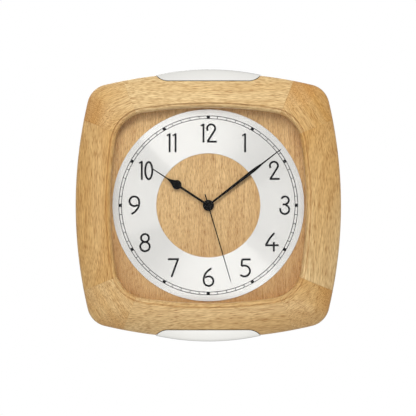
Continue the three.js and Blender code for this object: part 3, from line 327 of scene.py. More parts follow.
def frame_sections(start, angles):
    """Sections of the frame along rays from a point, from the back edge out, over and in again."""
    ray = np.stack([np.sin(angles), np.cos(angles)])
    opening = grown(STEP, -BEAD_WIDTH)
    outlines = [FRAME, STEP, grown(STEP, -STEP_WIDTH), opening, grown(opening, GLASS_REBATE),
                grown(opening, GLASS_REBATE + BOARD_LEDGE)]
    outer, step, foot, lip, glass, board = (reach(outline, start, ray) for outline in outlines)
    rows = [(outer - ARRIS, 0), (outer, ARRIS)]
    for share in np.linspace(0, 1, FRONT_STEPS) ** FRONT_CROWDING:
        run = outer + (step + ARRIS - outer) * share
        rows.append((run, front(shaped_inset(start[0] + run * ray[0], start[1] + run * ray[1]))))
    crest = rows[-1][1]
    rows += [(step + aside * ARRIS, crest - down * ARRIS) for aside, down in CREST_ROUND]
    rows += [(foot, bead_front - QUIRK_DEPTH), (foot - QUIRK_WIDTH, bead_front - QUIRK_DEPTH),
             (foot - QUIRK_WIDTH - QUIRK_FLARE, bead_front - QUIRK_RISE)]
    for sweep in np.linspace(np.arcsin(BEAD_START), np.pi / 2, BEAD_STEPS):
        rows.append((foot + (lip - foot) * np.sin(sweep), lip_front + BEAD_DROP * np.cos(sweep)))
    rows += [(lip, shelf + LIP_ARRIS), (lip + LIP_ARRIS, shelf), (glass, shelf), (glass, BOARD_RECESS),
             (board, BOARD_RECESS), (board, ARRIS), (board + ARRIS, 0)]
    return along_rays(start, ray, rows)


rail_start = (0, (GLUE_LINE - MITRE_FOOT) / tan(MITRE))
rail_sections = frame_sections(rail_start, np.linspace(-MITRE, MITRE, RAIL_STATIONS))
apex = (MITRE_FOOT + GLUE_LINE) / (1 - tan(MITRE))
corner_angles = np.linspace(MITRE, np.pi / 2 - MITRE, CORNER_STATIONS)
corner_sections = frame_sections((apex, apex), corner_angles)
rails = {side: skin(f"beech_{side}_rail", quarters(rail_sections, i))
         for i, side in enumerate(("top", "left", "bottom", "right"))}
corners = {corner: skin(f"beech_corner_{corner}", quarters(corner_sections, i))
           for i, corner in enumerate(("top_right", "top_left", "bottom_left", "bottom_right"))}

# The inserts' notches, the hanger's recess and the counterbores are cut into the rails.
GAP = 0.3
INSERT_FLAT, INSERT_HALF, INSERT_END_ROUND = 155, 50, 20
INSERT_ARC, INSERT_APEX = 306, 170.3
INSERT_FLOOR, INSERT_SET_BACK, NOTCH_ARRIS = 12, 0.55, 0.25
INSERT_STATIONS = 96
PAST = 10


def insert_low(x, grow=0.0):
    """Height of the inner edge of an insert: flat, with a rounded end at each side."""
    past = np.maximum(np.abs(x) - INSERT_HALF, 0)
    rounded = np.sqrt(np.maximum((INSERT_END_ROUND + grow) ** 2 - past**2, 0))
    return INSERT_FLAT + INSERT_END_ROUND - rounded


def notch(turns):
    """The room that an insert takes from its rail, flared a little where it meets the front."""
    x = np.linspace(-1, 1, INSERT_STATIONS) * (INSERT_HALF + INSERT_END_ROUND - 1)
    low, flared = insert_low(x, GAP), insert_low(x, GAP + 2 * NOTCH_ARRIS)
    edge = front(np.maximum(inset(FRAME, x, low), 0))
    beyond, above, floor_depth = INSERT_APEX + PAST, frame_depth + PAST, INSERT_FLOOR - GAP
    rows = [(x, low, floor_depth), (x, low, edge - NOTCH_ARRIS), (x, flared, edge + NOTCH_ARRIS),
            (x, flared, above), (x, beyond, above), (x, beyond, floor_depth)]
    return skin("notch", quarters(sections_of(rows), turns))


def drum(x, y, radius, back, front_depth, sides=32):
    """A round cutter along the depth."""
    angles = np.linspace(0, 2 * pi, sides, endpoint=False)
    section = [[(x + radius * cos(a), y + radius * sin(a), depth) for a in angles]
               for depth in (back, front_depth)]
    return skin("drum", section)


def slab(low, high, back, front_depth, corner=2.0, steps=6):
    """A cutter or plate with rounded corners between two plan corners, along the depth."""
    (left, bottom), (right, top) = np.add(low, corner), np.subtract(high, corner)
    edge = []
    for quarter, (x, y) in enumerate(((right, top), (left, top), (left, bottom), (right, bottom))):
        for a in np.linspace(0, pi / 2, steps) + quarter * pi / 2:
            edge.append((x + corner * cos(a), y + corner * sin(a)))
    return skin("slab", [[(x, y, depth) for x, y in edge] for depth in (back, front_depth)])


INSERT_SCREW_X, INSERT_SCREW_Y = 40, 158.5
COUNTERBORE, COUNTERBORE_DEPTH = 3.3, 2.9
for side, sign in (("top", 1), ("bottom", -1)):
    bores = [drum(sign * x, sign * INSERT_SCREW_Y, COUNTERBORE, -1, COUNTERBORE_DEPTH)
             for x in (-INSERT_SCREW_X, INSERT_SCREW_X)]
    carve(rails[side], notch(1 - sign), *bores)

HANGER_HALF, HANGER_LOW, HANGER_HIGH, HANGER_FRONT = 22, 136.5, 156.5, 3.0
POCKET_HALF, POCKET_LOW, POCKET_HIGH, POCKET_FLOOR = 5.5, 138, 155, 9.3
seat = slab((-HANGER_HALF - GAP, HANGER_LOW - GAP), (HANGER_HALF + GAP, HANGER_HIGH + GAP), -1,
            HANGER_FRONT + GAP)
pocket = slab((-POCKET_HALF, POCKET_LOW), (POCKET_HALF, POCKET_HIGH), -1, POCKET_FLOOR)
carve(rails["top"], seat, pocket)

# Beech, planed and sanded, under a thin satin lacquer. The eye sees short dark dashes, fibres and
# streaks that sway along the grain, faint growth rings, darker end grain, and a tone that drifts
# over each plank. Dashes and fibres, really half a millimetre wide, are drawn a little coarser.
# Rings and bands: pitch in mm, distortion, and the detail of that with its scale.
RINGS, BANDS, RINGS_ALONG = (4.2, 2.5, 2.0, 0.3), (15.0, 3.0, 1.0, 0.1), 0.15
# Marks: pitch across and along in mm, detail, and the noise at which one sets in and is full.
STREAK, FIBRE, DASH = (1.3, 30.0, 0.0, 0.35, 0.7), (0.65, 18.0, 1.0, 0.4, 0.7), (0.75, 7.5, 0.0, 0.47, 0.72)
RING_SHARE, STREAK_SHARE, BAND_TONE = 0.1, 0.15, 0.09
SWAY, SWAY_ACROSS, SWAY_ALONG = 1.3, 30.0, 42.0
WAVE_PERIOD = tau / 20
TONE_REACH = 100 * MM
ATTRIBUTES = ("grain", "fibre", "tone")


def beech(name, pale, deep, dark, dash_share=0.36, fibre_share=0.5, fineness=1.15):
    """Lacquered beech that reads its grain and tone from each piece's own attributes."""
    finish, tree = bare(bpy.data.materials.new(name))
    grain, fibre, tone = (add(tree, "Attribute", attribute_name=kept) for kept in ATTRIBUTES)
    slowly = (1 / SWAY_ACROSS, 1 / SWAY_ACROSS, 1 / SWAY_ALONG)
    wide = add(tree, "Mapping", {"Vector": grain, "Scale": slowly})
    drift = add(tree, "TexNoise", {"Vector": wide, "Scale": 1.0, "Detail": 1.0})
    off = add(tree, "VectorMath", {0: drift.outputs["Color"], 1: (0.5, 0.5, 0.5)}, operation="SUBTRACT")
    bent = add(tree, "VectorMath", {0: off, 1: (2 * SWAY, 2 * SWAY, 0), 2: grain}, operation="MULTIPLY_ADD")
    slow = add(tree, "Mapping", {"Vector": bent, "Scale": (1, 1, RINGS_ALONG)})
    rings, bands = (
        add(tree, "TexWave", {"Vector": slow, "Scale": WAVE_PERIOD / pitch, "Distortion": bend,
                              "Detail": detail, "Detail Scale": scale},
            wave_type="RINGS", rings_direction="Z")
        for pitch, bend, detail, scale in (RINGS, BANDS))
    darker = add(tree, "MapRange", {"Value": bands, "To Min": -BAND_TONE, "To Max": BAND_TONE})
    toned = add(tree, "Math", {0: tone.outputs["Fac"], 1: darker}, operation="ADD", use_clamp=True)
    base = add(tree, "MixRGB", {"Fac": toned, "Color1": pale, "Color2": deep})
    marks = add(tree, "MapRange", {"Value": rings, "From Min": 0.3, "To Max": RING_SHARE})
    layers = (STREAK, 1, STREAK_SHARE), (FIBRE, 1, fibre_share), (DASH, fineness, dash_share)
    noise = {}
    for mark, fine, share in layers:
        across, along, detail, start, full = mark
        close = add(tree, "Mapping", {"Vector": bent, "Scale": (fine / across, fine / across, fine / along)})
        noise[mark] = add(tree, "TexNoise", {"Vector": close, "Scale": 1.0, "Detail": detail})
        drawn = add(tree, "MapRange", {"Value": noise[mark], "From Min": start, "From Max": full,
                                       "To Max": share})
        marks = add(tree, "Math", {0: marks, 1: drawn}, operation="ADD", use_clamp=True)
    marked = add(tree, "MixRGB", {"Fac": marks, "Color1": base, "Color2": dark})
    normal = add(tree, "NewGeometry")
    facing = add(tree, "VectorMath", {0: normal.outputs["Normal"], 1: fibre}, operation="DOT_PRODUCT")
    open_ends = add(tree, "Math", {0: facing.outputs["Value"]}, operation="ABSOLUTE")
    end_grain = add(tree, "MapRange", {"Value": open_ends, "From Min": 0.15, "From Max": 0.8, "To Max": 0.5})
    colour = add(tree, "MixRGB", {"Fac": end_grain, "Color1": marked, "Color2": deep},
                 blend_type="MULTIPLY")
    bump = add(tree, "Bump", {"Height": noise[DASH], "Strength": 0.1, "Distance": -0.1 * MM})
    worn = add(tree, "MapRange", {"Value": noise[FIBRE], "To Min": 0.47, "To Max": 0.53})
    surface = add(tree, "BsdfPrincipled", {"Base Color": colour, "Roughness": worn, "Normal": bump,
                                           "Coat Weight": 0.2, "Coat Roughness": 0.32,
                                           "Specular IOR Level": 0.3})
    add(tree, "OutputMaterial", {"Surface": surface})
    return finish


def points_of(piece):
    """The places of a piece's points in metres, one row each."""
    places = np.empty(len(piece.data.vertices) * 3)
    piece.data.vertices.foreach_get("co", places)
    return places.reshape(-1, 3)


def keep(piece, name, values):
    """Keeps a number or a vector with each point of a piece, for its material to read."""
    values = np.asarray(values, np.float32)
    kind, field = ("FLOAT", "value") if values.ndim == 1 else ("FLOAT_VECTOR", "vector")
    piece.data.attributes.new(name, kind, "POINT").data.foreach_set(field, values.ravel())


def lay_grain(piece, angle, dive, heart, offset, tone, outward_drift=0.0):
    """Lays a piece's fibres at an angle in the plan, diving by another, off the heart of the tree."""
    turn, tilt = radians(angle), radians(dive)
    along = Vector((cos(turn) * cos(tilt), sin(tilt), sin(turn) * cos(tilt)))
    depthwise = Vector((0, -1, 0))
    depthwise = (depthwise - along * depthwise.dot(along)).normalized()
    axes = np.array([along.cross(depthwise), depthwise, along])
    away = points_of(piece) - np.array(dial)
    across, _, up = away.T
    middle, across_drift, up_drift = tone
    drift = across_drift * across + up_drift * up + outward_drift * np.hypot(across, up)
    kept = (away / MM @ axes.T + np.array([*heart, offset]), np.tile(along, (len(away), 1)),
            np.clip(middle + drift / TONE_REACH, 0, 1))
    for name, values in zip(ATTRIBUTES, kept):
        keep(piece, name, values)


# For each piece: the angle and dive of its fibres in degrees, the heart's place and the offset
# along the grain in mm, and its tone in the middle of the dial and its change per 100 mm.
# The top and bottom rails get paler tones than the upright ones: partly the wood's own tone, partly a painted
# sheen of fibres that lie across the light from above and below.
GRAIN = {
    "top": (0, 0.8, (-60, 90), 40, (0.1, 0.1, 0)),
    "left": (90, 0.8, (45, 80), 310, (0.72, 0, -0.02)),
    "bottom": (5, -0.6, (-30, 110), 620, (0.38, 0.1, 0)),
    "right": (87, -0.8, (-55, 95), 955, (0.5, 0, 0.38)),
    "top_right": (-56, 4, (-168, 34), 1200, (-1.0, 0.95, 0.45)),
    "top_left": (26, 3, (170, 42), 1500, (-0.3, -1.0, -0.35)),
    "bottom_left": (-58, 5, (160, 36), 1800, (0.08, 0.05, -0.36)),
    "bottom_right": (35, 4, (-163, 38), 2100, (0.75, 0.5, 0.62)),
}
solid_beech = beech("lacquered_beech", "#f6daa3", "#dbaa60", "#9c682b")
for side, piece in rails.items():
    lay_grain(piece, *GRAIN[side])
    fit(piece, solid_beech, "beech", f"{side}_rail")
for corner, piece in corners.items():
    lay_grain(piece, *GRAIN[corner])
    fit(piece, solid_beech, "beech", f"corner_{corner}")


# Metal inserts
# Two bars of aluminium, milled to the shape of the rail with their arrises rounded, blasted to an
# even satin and anodised clear; each is let into a notch and held by two screws from behind.
INSERT_OUTER_ROUND, INSERT_INNER_ROUND, INSERT_TIP_CUT = 1.4, 0.5, 0.5
INSERT_STEPS = 26
BLAST_GRAIN, INSERT_CLOUD = 0.5 * MM, 40 * MM
insert_shares = np.concatenate([[0, 0.012, 0.03, 0.06], np.linspace(0.1, 0.9, INSERT_STEPS),
                                [0.93, 0.95, 0.965, 0.978, 0.988, 0.995, 1]])


def insert_high(x):
    """Height of the outer edge of an insert, one long arc that stands proud of the rail."""
    return INSERT_APEX - INSERT_ARC + np.sqrt(INSERT_ARC**2 - x**2)


def below_arc(x, y):
    """How far points lie inside the outer edge of an insert."""
    return INSERT_ARC - np.hypot(x, y - INSERT_APEX + INSERT_ARC)


def dropped(edge, radius):
    """How far a rounded arris lowers a surface at a distance from its edge."""
    return radius - np.sqrt(np.maximum(radius**2 - (radius - np.clip(edge, 0, radius)) ** 2, 0))


def metal_insert(name, turns):
    """An insert between its inner edge and its long outer arc, as deep as the frame's own front."""
    tip = INSERT_HALF + INSERT_END_ROUND
    for _ in range(20):
        gap = insert_high(tip) - INSERT_FLAT - INSERT_END_ROUND
        tip = INSERT_HALF + sqrt(INSERT_END_ROUND**2 - gap**2)
    x = -np.cos(np.linspace(0, pi, INSERT_STATIONS)) * (tip - INSERT_TIP_CUT)
    low, high = insert_low(x, -INSERT_SET_BACK), insert_high(x)
    low_inset = inset(FRAME, x, low)
    past = np.maximum(np.abs(x) - INSERT_HALF, 0)
    rows = [(x, low, INSERT_FLOOR)]
    for share in insert_shares:
        y = low + (high - low) * share
        end_edge = INSERT_END_ROUND - np.hypot(past, y - INSERT_FLAT - INSERT_END_ROUND)
        low_edge = np.where(past > 0, end_edge, y - INSERT_FLAT)
        eased = dropped(low_edge, INSERT_INNER_ROUND) + dropped(below_arc(x, y), INSERT_OUTER_ROUND)
        rows.append((x, y, front((1 - share) * low_inset) - eased))
    rows.append((x, high, INSERT_FLOOR))
    made = skin(name, quarters(sections_of(rows), turns))
    across, _, up = (points_of(made) - np.array(dial)).T / MM
    # The outer arris is kept as a share for the painted darker reflection in the insert's material.
    keep(made, "painted_edge_reflection", np.clip(1 - below_arc(across, np.abs(up)) / INSERT_OUTER_ROUND, 0, 1))
    return made


def begun(name):
    """A new material, its node tree, still bare, and the coordinates of the pieces that wear it."""
    finish, tree = bare(bpy.data.materials.new(name))
    return finish, tree, add(tree, "TexCoord").outputs["Object"]


def ended(tree, tone, pattern, rough, bump, height, **sockets):
    """Ends a material with its tone, and with a roughness and a relief that follow a pattern."""
    dull = add(tree, "MapRange", {"Value": pattern, "To Min": rough[0], "To Max": rough[1]})
    relief = add(tree, "Bump", {"Height": pattern, "Strength": bump, "Distance": height * MM})
    surface = add(tree, "BsdfPrincipled", {"Base Color": tone, "Roughness": dull, "Normal": relief,
                                           **sockets})
    add(tree, "OutputMaterial", {"Surface": surface})


# Blasting leaves a fine even grain with a broad soft shine. The rounded outer arris is painted a darker grey,
# a painted reflection of darker surroundings in its curve.
satin_aluminium, tree, place = begun("satin_anodised_aluminium")
blast = add(tree, "TexNoise", {"Vector": place, "Scale": 1 / BLAST_GRAIN, "Detail": 2.0})
cloud = add(tree, "TexNoise", {"Vector": place, "Scale": 1 / INSERT_CLOUD, "Detail": 2.0})
clean = add(tree, "MixRGB", {"Fac": cloud, "Color1": "#dddcd8", "Color2": "#e3e2de"})
# Painted reflection: the outer arris is mixed towards a darker grey.
edge = add(tree, "Attribute", attribute_name="painted_edge_reflection")
tone = add(tree, "MixRGB", {"Fac": edge.outputs["Fac"], "Color1": clean, "Color2": "#a2a2a0"})
ended(tree, tone, blast, (0.46, 0.56), 0.05, 0.02, Metallic=1.0)
for side, half_turn in (("top", 0), ("bottom", 2)):
    fit(metal_insert(f"satin_{side}_insert", half_turn), satin_aluminium, "satin_aluminium",
        f"{side}_insert", sharp=50)


# Dial board
# A thin board veneered with beech, its fibres upright, screwed into the frame from behind with a
# clear hole for the movement's threaded bushing.
BOARD_BACK, BOARD_FRONT, BOARD_ARRIS = 19.7, 23.7, 0.4
BUSHING_HOLE = 4.0
RAYS = 360
angles = np.linspace(0, 2 * pi, RAYS, endpoint=False)
ray = np.stack([np.sin(angles), np.cos(angles)])
opening = grown(STEP, -BEAD_WIDTH)
rim = reach(grown(opening, GLASS_REBATE + BOARD_LEDGE - GAP), (0, 0), ray)
halfway = (BUSHING_HOLE + rim) / 2
rows = [(BUSHING_HOLE, BOARD_BACK), (BUSHING_HOLE, BOARD_FRONT), (halfway, BOARD_FRONT),
        (rim - BOARD_ARRIS, BOARD_FRONT), (rim, BOARD_FRONT - BOARD_ARRIS), (rim, BOARD_BACK + BOARD_ARRIS),
        (rim - BOARD_ARRIS, BOARD_BACK), (halfway, BOARD_BACK)]
board = skin("veneered_board", along_rays((0, 0), ray, rows), is_ring=True)
# Sliced veneer is the same beech with closer dashes; its tone is drawn a little darker towards the frame.
veneer = beech("beech_veneer", "#f4d49b", "#caa06a", "#a06d3a", dash_share=0.5, fibre_share=0.35,
               fineness=1.5)
lay_grain(board, 90, 0, (60, 180), 2600, (0.3, 0.05, -0.18), outward_drift=0.26)
fit(board, veneer, "beech_veneer", "dial_board")

# The spacer that keeps the glass off the board is bent from a beech strip.
SPACER_FRONT, SPACER_ARRIS = 33.4, 0.3
outer = reach(grown(opening, GLASS_REBATE - GAP), (0, 0), ray)
inner = reach(grown(opening, GAP), (0, 0), ray)
rows = [(inner, BOARD_RECESS), (inner, SPACER_FRONT - SPACER_ARRIS), (inner + SPACER_ARRIS, SPACER_FRONT),
        (outer, SPACER_FRONT), (outer, BOARD_RECESS)]
spacer = skin("beech_spacer", along_rays((0, 0), ray, rows), is_ring=True)
lay_grain(spacer, 90, 0, (30, 60), 3000, (0.7, 0, 0))
fit(spacer, solid_beech, "beech", "spacer_frame")


# Dial ring
# A flat ring of aluminium, spun so that fine circles run round it, lacquered silver, with a narrow
# rim that slopes away outside the minute track; it is glued to the board.
RING_OUTER, RING_INNER, RING_BACK, RING_FRONT, RING_ARRIS = 120, 65, 24.0, 24.8, 0.15
RIM_FROM, RIM_BREAK, RIM_BREAK_DROP, RIM_EDGE, RIM_DROP = 112.3, 0.5, 0.05, 0.2, 0.08
LINE_PITCH = 0.35 * MM


def turned(name, profile, centre=(0, 0), segments=96, is_lying=False):
    """A turned piece from its closed profile of radius and depth; a lying one's axis runs across."""
    angles = np.linspace(0, 2 * pi, segments, endpoint=False)
    sections = [[(centre[0] + r * cos(a), centre[1] + r * sin(a), depth) for r, depth in profile]
                for a in angles]
    return skin(name, np.roll(sections, int(is_lying), axis=-1), is_ring=True)


ring = turned("silver_dial_ring", [
    (RING_INNER, RING_BACK), (RING_INNER, RING_FRONT - RING_ARRIS), (RING_INNER + RING_ARRIS, RING_FRONT),
    ((RING_INNER + RIM_FROM) / 2, RING_FRONT), (RIM_FROM, RING_FRONT),
    (RIM_FROM + RIM_BREAK, RING_FRONT - RIM_BREAK_DROP), (RING_OUTER - RIM_EDGE, RING_FRONT - RIM_DROP),
    (RING_OUTER, RING_FRONT - RIM_DROP - RING_ARRIS), (RING_OUTER, RING_BACK),
], segments=256)
# Spun circles throw the lamps into a fan about the axis: deeper, clean cuts give it hard edges,
# and the haze of finer ones between them softens it.
spun_silver, tree, place = begun("spun_silver_dial")
flat = add(tree, "VectorMath", {0: place, 1: tuple(dial)}, operation="SUBTRACT")
apart = add(tree, "SeparateXYZ", {"Vector": flat})
in_plane = add(tree, "CombineXYZ", {"X": apart.outputs["X"], "Z": apart.outputs["Z"]})
radius = add(tree, "VectorMath", {0: in_plane}, operation="LENGTH")
in_lines = add(tree, "Math", {0: radius.outputs["Value"], 1: 1 / LINE_PITCH}, operation="MULTIPLY")
cuts = add(tree, "TexNoise", {"W": in_lines, "Detail": 2.0}, noise_dimensions="1D")
tone = add(tree, "MixRGB", {"Fac": cuts, "Color1": "#dddcd8", "Color2": "#e5e4e1"})
rough = add(tree, "MapRange", {"Value": cuts, "To Min": 0.16, "To Max": 0.19})
round_lines = add(tree, "Tangent", direction_type="RADIAL", axis="Y")
soft_fan = add(tree, "BsdfPrincipled", {"Base Color": tone, "Metallic": 1.0, "Roughness": rough,
                                        "Anisotropic": 1.0, "Anisotropic Rotation": 0.25,
                                        "Tangent": round_lines})
sharp_fan = add(tree, "BsdfAnisotropic", {"Color": tone, "Roughness": 0.19, "Anisotropy": 0.9,
                                          "Tangent": round_lines}, distribution="MULTI_GGX")
surface = add(tree, "MixShader", {"Fac": 0.55, 1: soft_fan, 2: sharp_fan})
add(tree, "OutputMaterial", {"Surface": surface})
fit(ring, spun_silver, "silver_dial", "dial_ring")

# The minute track and the numerals are screen-printed in black ink on the ring. The numerals are
# drawn about their middles, in millimetres, as lines of one width but for the flag of the 1.
INK_BACK, INK_FRONT, INK_STEP = 24.79, 24.84, 0.004
TRACK_OUTER, TRACK_INNER, TRACK_LINE, FIVE_MINUTE_SQUARE = 111.8, 108.4, 0.8, 4.1
STROKE, FLAG = 2.5, 2.0
TOP, FOOT = 11.9, -11.8


def ribbon(points, width, low, high):
    """A strip of one width along plan points between two depths; a loop ends where it begins."""
    line = np.asarray(points, float)
    is_loop = np.allclose(line[0], line[-1])
    if is_loop:
        line = line[:-1]
        ahead, behind = np.roll(line, -1, axis=0), np.roll(line, 1, axis=0)
    else:
        ahead = np.vstack([line[1:], 2 * line[-1:] - line[-2:-1]])
        behind = np.vstack([2 * line[:1] - line[1:2], line[:-1]])
    toward, since = ahead - line, line - behind
    toward /= np.linalg.norm(toward, axis=1, keepdims=True)
    since /= np.linalg.norm(since, axis=1, keepdims=True)
    bisector = toward + since
    bisector /= np.linalg.norm(bisector, axis=1, keepdims=True)
    lean = np.sum(bisector * toward, axis=1, keepdims=True)
    side = np.stack([-bisector[:, 1], bisector[:, 0]], axis=1) * width / 2 / lean
    left, right = line + side, line - side
    rows = [(*left.T, low), (*left.T, high), (*right.T, high), (*right.T, low)]
    return skin("ribbon", sections_of(rows), is_ring=is_loop)


def ink(points, width, level=0):
    """A printed line, a hair thicker at each level so that crossing lines don't share a face."""
    return ribbon(points, width, INK_BACK, INK_FRONT + INK_STEP * level)


def arc(x, y, radius, start, end, steps=28):
    """Points along an arc from one angle to another, in degrees; an ellipse gives two radii."""
    across, up = np.broadcast_to(radius, 2)
    angles = np.radians(np.linspace(start, end, steps))
    return np.stack([x + across * np.cos(angles), y + up * np.sin(angles)], axis=1)


def curve(start, control, end, steps=20):
    """Points along a quadratic curve."""
    t = np.linspace(0, 1, steps)[:, None]
    return (1 - t) ** 2 * np.array(start) + 2 * t * (1 - t) * np.array(control) + t**2 * np.array(end)


def upright(x):
    """The full-height stroke of a 1, and of the numerals that hold one."""
    return [(x, TOP), (x, FOOT)]


def flag(x, across=3.7, low=9.0):
    """The short thin stroke down from the top of a 1, with its own width."""
    return [(x, TOP - 1), (x - across, low)], FLAG


two = [np.vstack([arc(-0.65, 5.9, 5.0, 215, -30), [(-5.2, -10.6)]]), [(-5.9, -10.6), (6.4, -10.6)]]
six_bowl, six_back = arc(0, -5.1, 5.95, 135, -180), curve((-6.1, -5.1), (-7.0, 5.0), (3.6, 10.9))
six = np.vstack([six_bowl, six_back[1:]])
NUMERALS = {
    1: ((45.375, 78.125), [upright(0.6), flag(0.6, 3.9, 8.8)]),
    2: ((82.625, 43.625), two),
    3: ((95.25, 0), [arc(0.6, 6.4, 4.7, 160, -80), [(-2.4, 1.1), (1.5, 1.1)],
                     arc(0.2, -5.2, 5.6, 80, -198)]),
    4: ((79.375, -45.875), [curve((3.4, 11.2), (-2.6, 6.2), (-7.4, -3.9)), [(-8.2, -4.0), (8.6, -4.0)],
                            [(2.5, 0), (2.5, FOOT)]]),
    5: ((46.125, -78), [[(-4.1, 10.4), (6.8, 10.4)], [(-3.9, 10.4), (-4.55, 2.0)],
                        arc(-1.0, -4.0, (6.9, 6.8), 121, -137)]),
    6: ((0.375, -89.625), [six]),
    7: ((-43.875, -78), [[(-6.7, 10.7), (7.1, 10.7)], [(6.0, 10.7), (-2.1, -11.6)]]),
    8: ((-79.125, -46.375), [arc(0, 5.6, (4.9, 4.95), 0, 360), arc(0, -5.2, (5.9, 5.8), 0, 360)]),
    9: ((-92.5, 0), [-six]),
    10: ((-76.875, 43.625), [upright(-6.25), flag(-6.25, 3.55), arc(2.45, -0.2, (4.4, 10.7), 0, 360, 40)]),
    11: ((-45.25, 78.125), [upright(-3.1), upright(4.3), flag(-3.1), flag(4.3)]),
    12: ((0.375, 90.25), [upright(-6.4), flag(-6.4), *(np.asarray(line) + (3.85, 0) for line in two)]),
}


def laid(name, shape):
    """A bmesh set down as a piece of its own."""
    mesh = bpy.data.meshes.new(name)
    shape.to_mesh(mesh)
    shape.free()
    return hung(name, mesh)


def joined(name, parts):
    """Several meshes joined as one piece."""
    whole = bmesh.new()
    for part in parts:
        whole.from_mesh(part.data)
        bpy.data.objects.remove(part)
    return laid(name, whole)


CLOUD = 9 * MM


def even_finish(name, pale, deep, rough, grain, bump=0.0, height=0.02, **sockets):
    """A material whose colour and roughness vary a little, with an even fine grain."""
    finish, tree, place = begun(name)
    fine = add(tree, "TexNoise", {"Vector": place, "Scale": 1 / (grain * MM), "Detail": 2.0})
    cloud = add(tree, "TexNoise", {"Vector": place, "Scale": 1 / CLOUD, "Detail": 2.0})
    tone = add(tree, "MixRGB", {"Fac": cloud, "Color1": pale, "Color2": deep})
    ended(tree, tone, fine, rough, bump, height, **sockets)
    return finish


# Screen-printing ink dries matt and black, with the even grain of the mesh that it went through.
printing_ink = even_finish("matt_printing_ink", "#151517", "#1d1d1f", (0.55, 0.65), 0.4, bump=0.1,
                           **{"Specular IOR Level": 0.1})
for hour, (centre, strokes) in NUMERALS.items():
    parts = []
    for level, stroke in enumerate(strokes):
        line, width = stroke if isinstance(stroke, tuple) else (stroke, STROKE)
        parts.append(ink(np.asarray(line) + centre, width, level))
    fit(joined(f"numeral_{hour}", parts), printing_ink, "black_lacquer")

track = [ink(arc(0, 0, r, 0, 360, 361), TRACK_LINE) for r in (TRACK_OUTER, TRACK_INNER)]
middle = (TRACK_INNER + TRACK_OUTER) / 2
square_ends = middle - FIVE_MINUTE_SQUARE / 2, middle + FIVE_MINUTE_SQUARE / 2
for minute in range(60):
    away = np.array([sin(radians(6 * minute)), cos(radians(6 * minute))])
    track.append(ink([away * TRACK_INNER, away * TRACK_OUTER], TRACK_LINE, level=1))
    if minute % 5 == 0:
        track.append(ink([away * end for end in square_ends], FIVE_MINUTE_SQUARE, level=2))
fit(joined("minute_track", track), printing_ink, "black_lacquer")


# Hands
# Three hands punched from thin aluminium sheet and painted with black lacquer, each riveted to a
# collet that is pressed on its own pipe or arbor; a small cap closes the second hand's.
HAND_ARRIS = 0.12
HOUR_HUB, HOUR_BAR, HOUR_DISC, HOUR_DISC_AT, HOUR_TAPER = 7, 1.4, 5.95, 47.1, 48
HOUR_NECK, HOUR_NECK_AT, HOUR_TIP, HOUR_LENGTH = 0.8, 61.1, 0.6, 82.6
MINUTE_HUB, MINUTE_BAR, MINUTE_WIDE, MINUTE_WIDE_AT = 6.5, 1.2, 2.15, 68
MINUTE_NECK, MINUTE_NECK_AT, MINUTE_TIP, MINUTE_LENGTH = 1, 84, 0.5, 114.3
SECOND_HUB, SECOND_BAR, SECOND_TIP, SECOND_LENGTH, SECOND_TAIL = 5, 0.75, 0.4, 98.6, 14.5
COLLET_HEIGHT, COLLET_WALL, OVERLAP = 0.5, 1.0, 0.1
CAP_RADIUS, CAP_ROUND, CAP_FRONT = 3.6, 0.55, 32.2


def mirrored(right):
    """An outline from its right half, listed from the tail up."""
    left = [(-x, y) for x, y in reversed(right) if x > 1e-6]
    return [*map(tuple, right), *left]


def hand(name, outline, back, front_depth, turn_angle):
    """A flat hand with softened arrises, turned clockwise from twelve."""
    turn = radians(turn_angle)
    shape = bmesh.new()
    points = [(x * cos(turn) + y * sin(turn), y * cos(turn) - x * sin(turn), back)
              for x, y in outline]
    face = shape.faces.new([shape.verts.new(place) for place in plan(points)])
    pulled = bmesh.ops.extrude_face_region(shape, geom=[face])
    lifted = [item for item in pulled["geom"] if isinstance(item, bmesh.types.BMVert)]
    bmesh.ops.translate(shape, verts=lifted, vec=(0, -(front_depth - back) * MM, 0))
    bmesh.ops.recalc_face_normals(shape, faces=shape.faces)
    top = [edge for edge in shape.edges if all(vert in lifted for vert in edge.verts)]
    bmesh.ops.bevel(shape, geom=top, offset=HAND_ARRIS * MM, segments=2, affect="EDGES", profile=0.5)
    return laid(name, shape)


def side_angle(half, radius):
    """Degrees up from the side at which a circle is as wide as a bar's half width."""
    return degrees(acos(half / radius))


shoulder = (HOUR_DISC * cos(radians(HOUR_TAPER)),
            HOUR_DISC_AT + HOUR_DISC * sin(radians(HOUR_TAPER)))
hour_outline = mirrored([
    *arc(0, 0, HOUR_HUB, -90, side_angle(HOUR_BAR, HOUR_HUB)),
    *arc(0, HOUR_DISC_AT, HOUR_DISC, -side_angle(HOUR_BAR, HOUR_DISC), HOUR_TAPER),
    *curve(shoulder, (HOUR_NECK + HOUR_BAR / 2, (shoulder[1] + HOUR_NECK_AT) / 2),
           (HOUR_NECK, HOUR_NECK_AT))[1:],
    (HOUR_TIP, HOUR_LENGTH),
])
minute_outline = mirrored([
    *arc(0, 0, MINUTE_HUB, -90, side_angle(MINUTE_BAR, MINUTE_HUB)),
    *curve((MINUTE_WIDE, MINUTE_WIDE_AT), (MINUTE_WIDE, (MINUTE_WIDE_AT + MINUTE_NECK_AT) / 2),
           (MINUTE_NECK, MINUTE_NECK_AT)),
    (MINUTE_TIP, MINUTE_LENGTH),
])
second_side = side_angle(SECOND_BAR, SECOND_HUB)
second_outline = mirrored([
    (SECOND_BAR, -SECOND_TAIL),
    *arc(0, 0, SECOND_HUB, -second_side, second_side),
    (SECOND_TIP, SECOND_LENGTH),
])

# Sprayed lacquer is an even satin black with a slight orange peel.
black_lacquer = even_finish("black_lacquer", "#0b0b0b", "#101010", (0.4, 0.5), 0.8, bump=0.1,
                            **{"Specular IOR Level": 0.06})
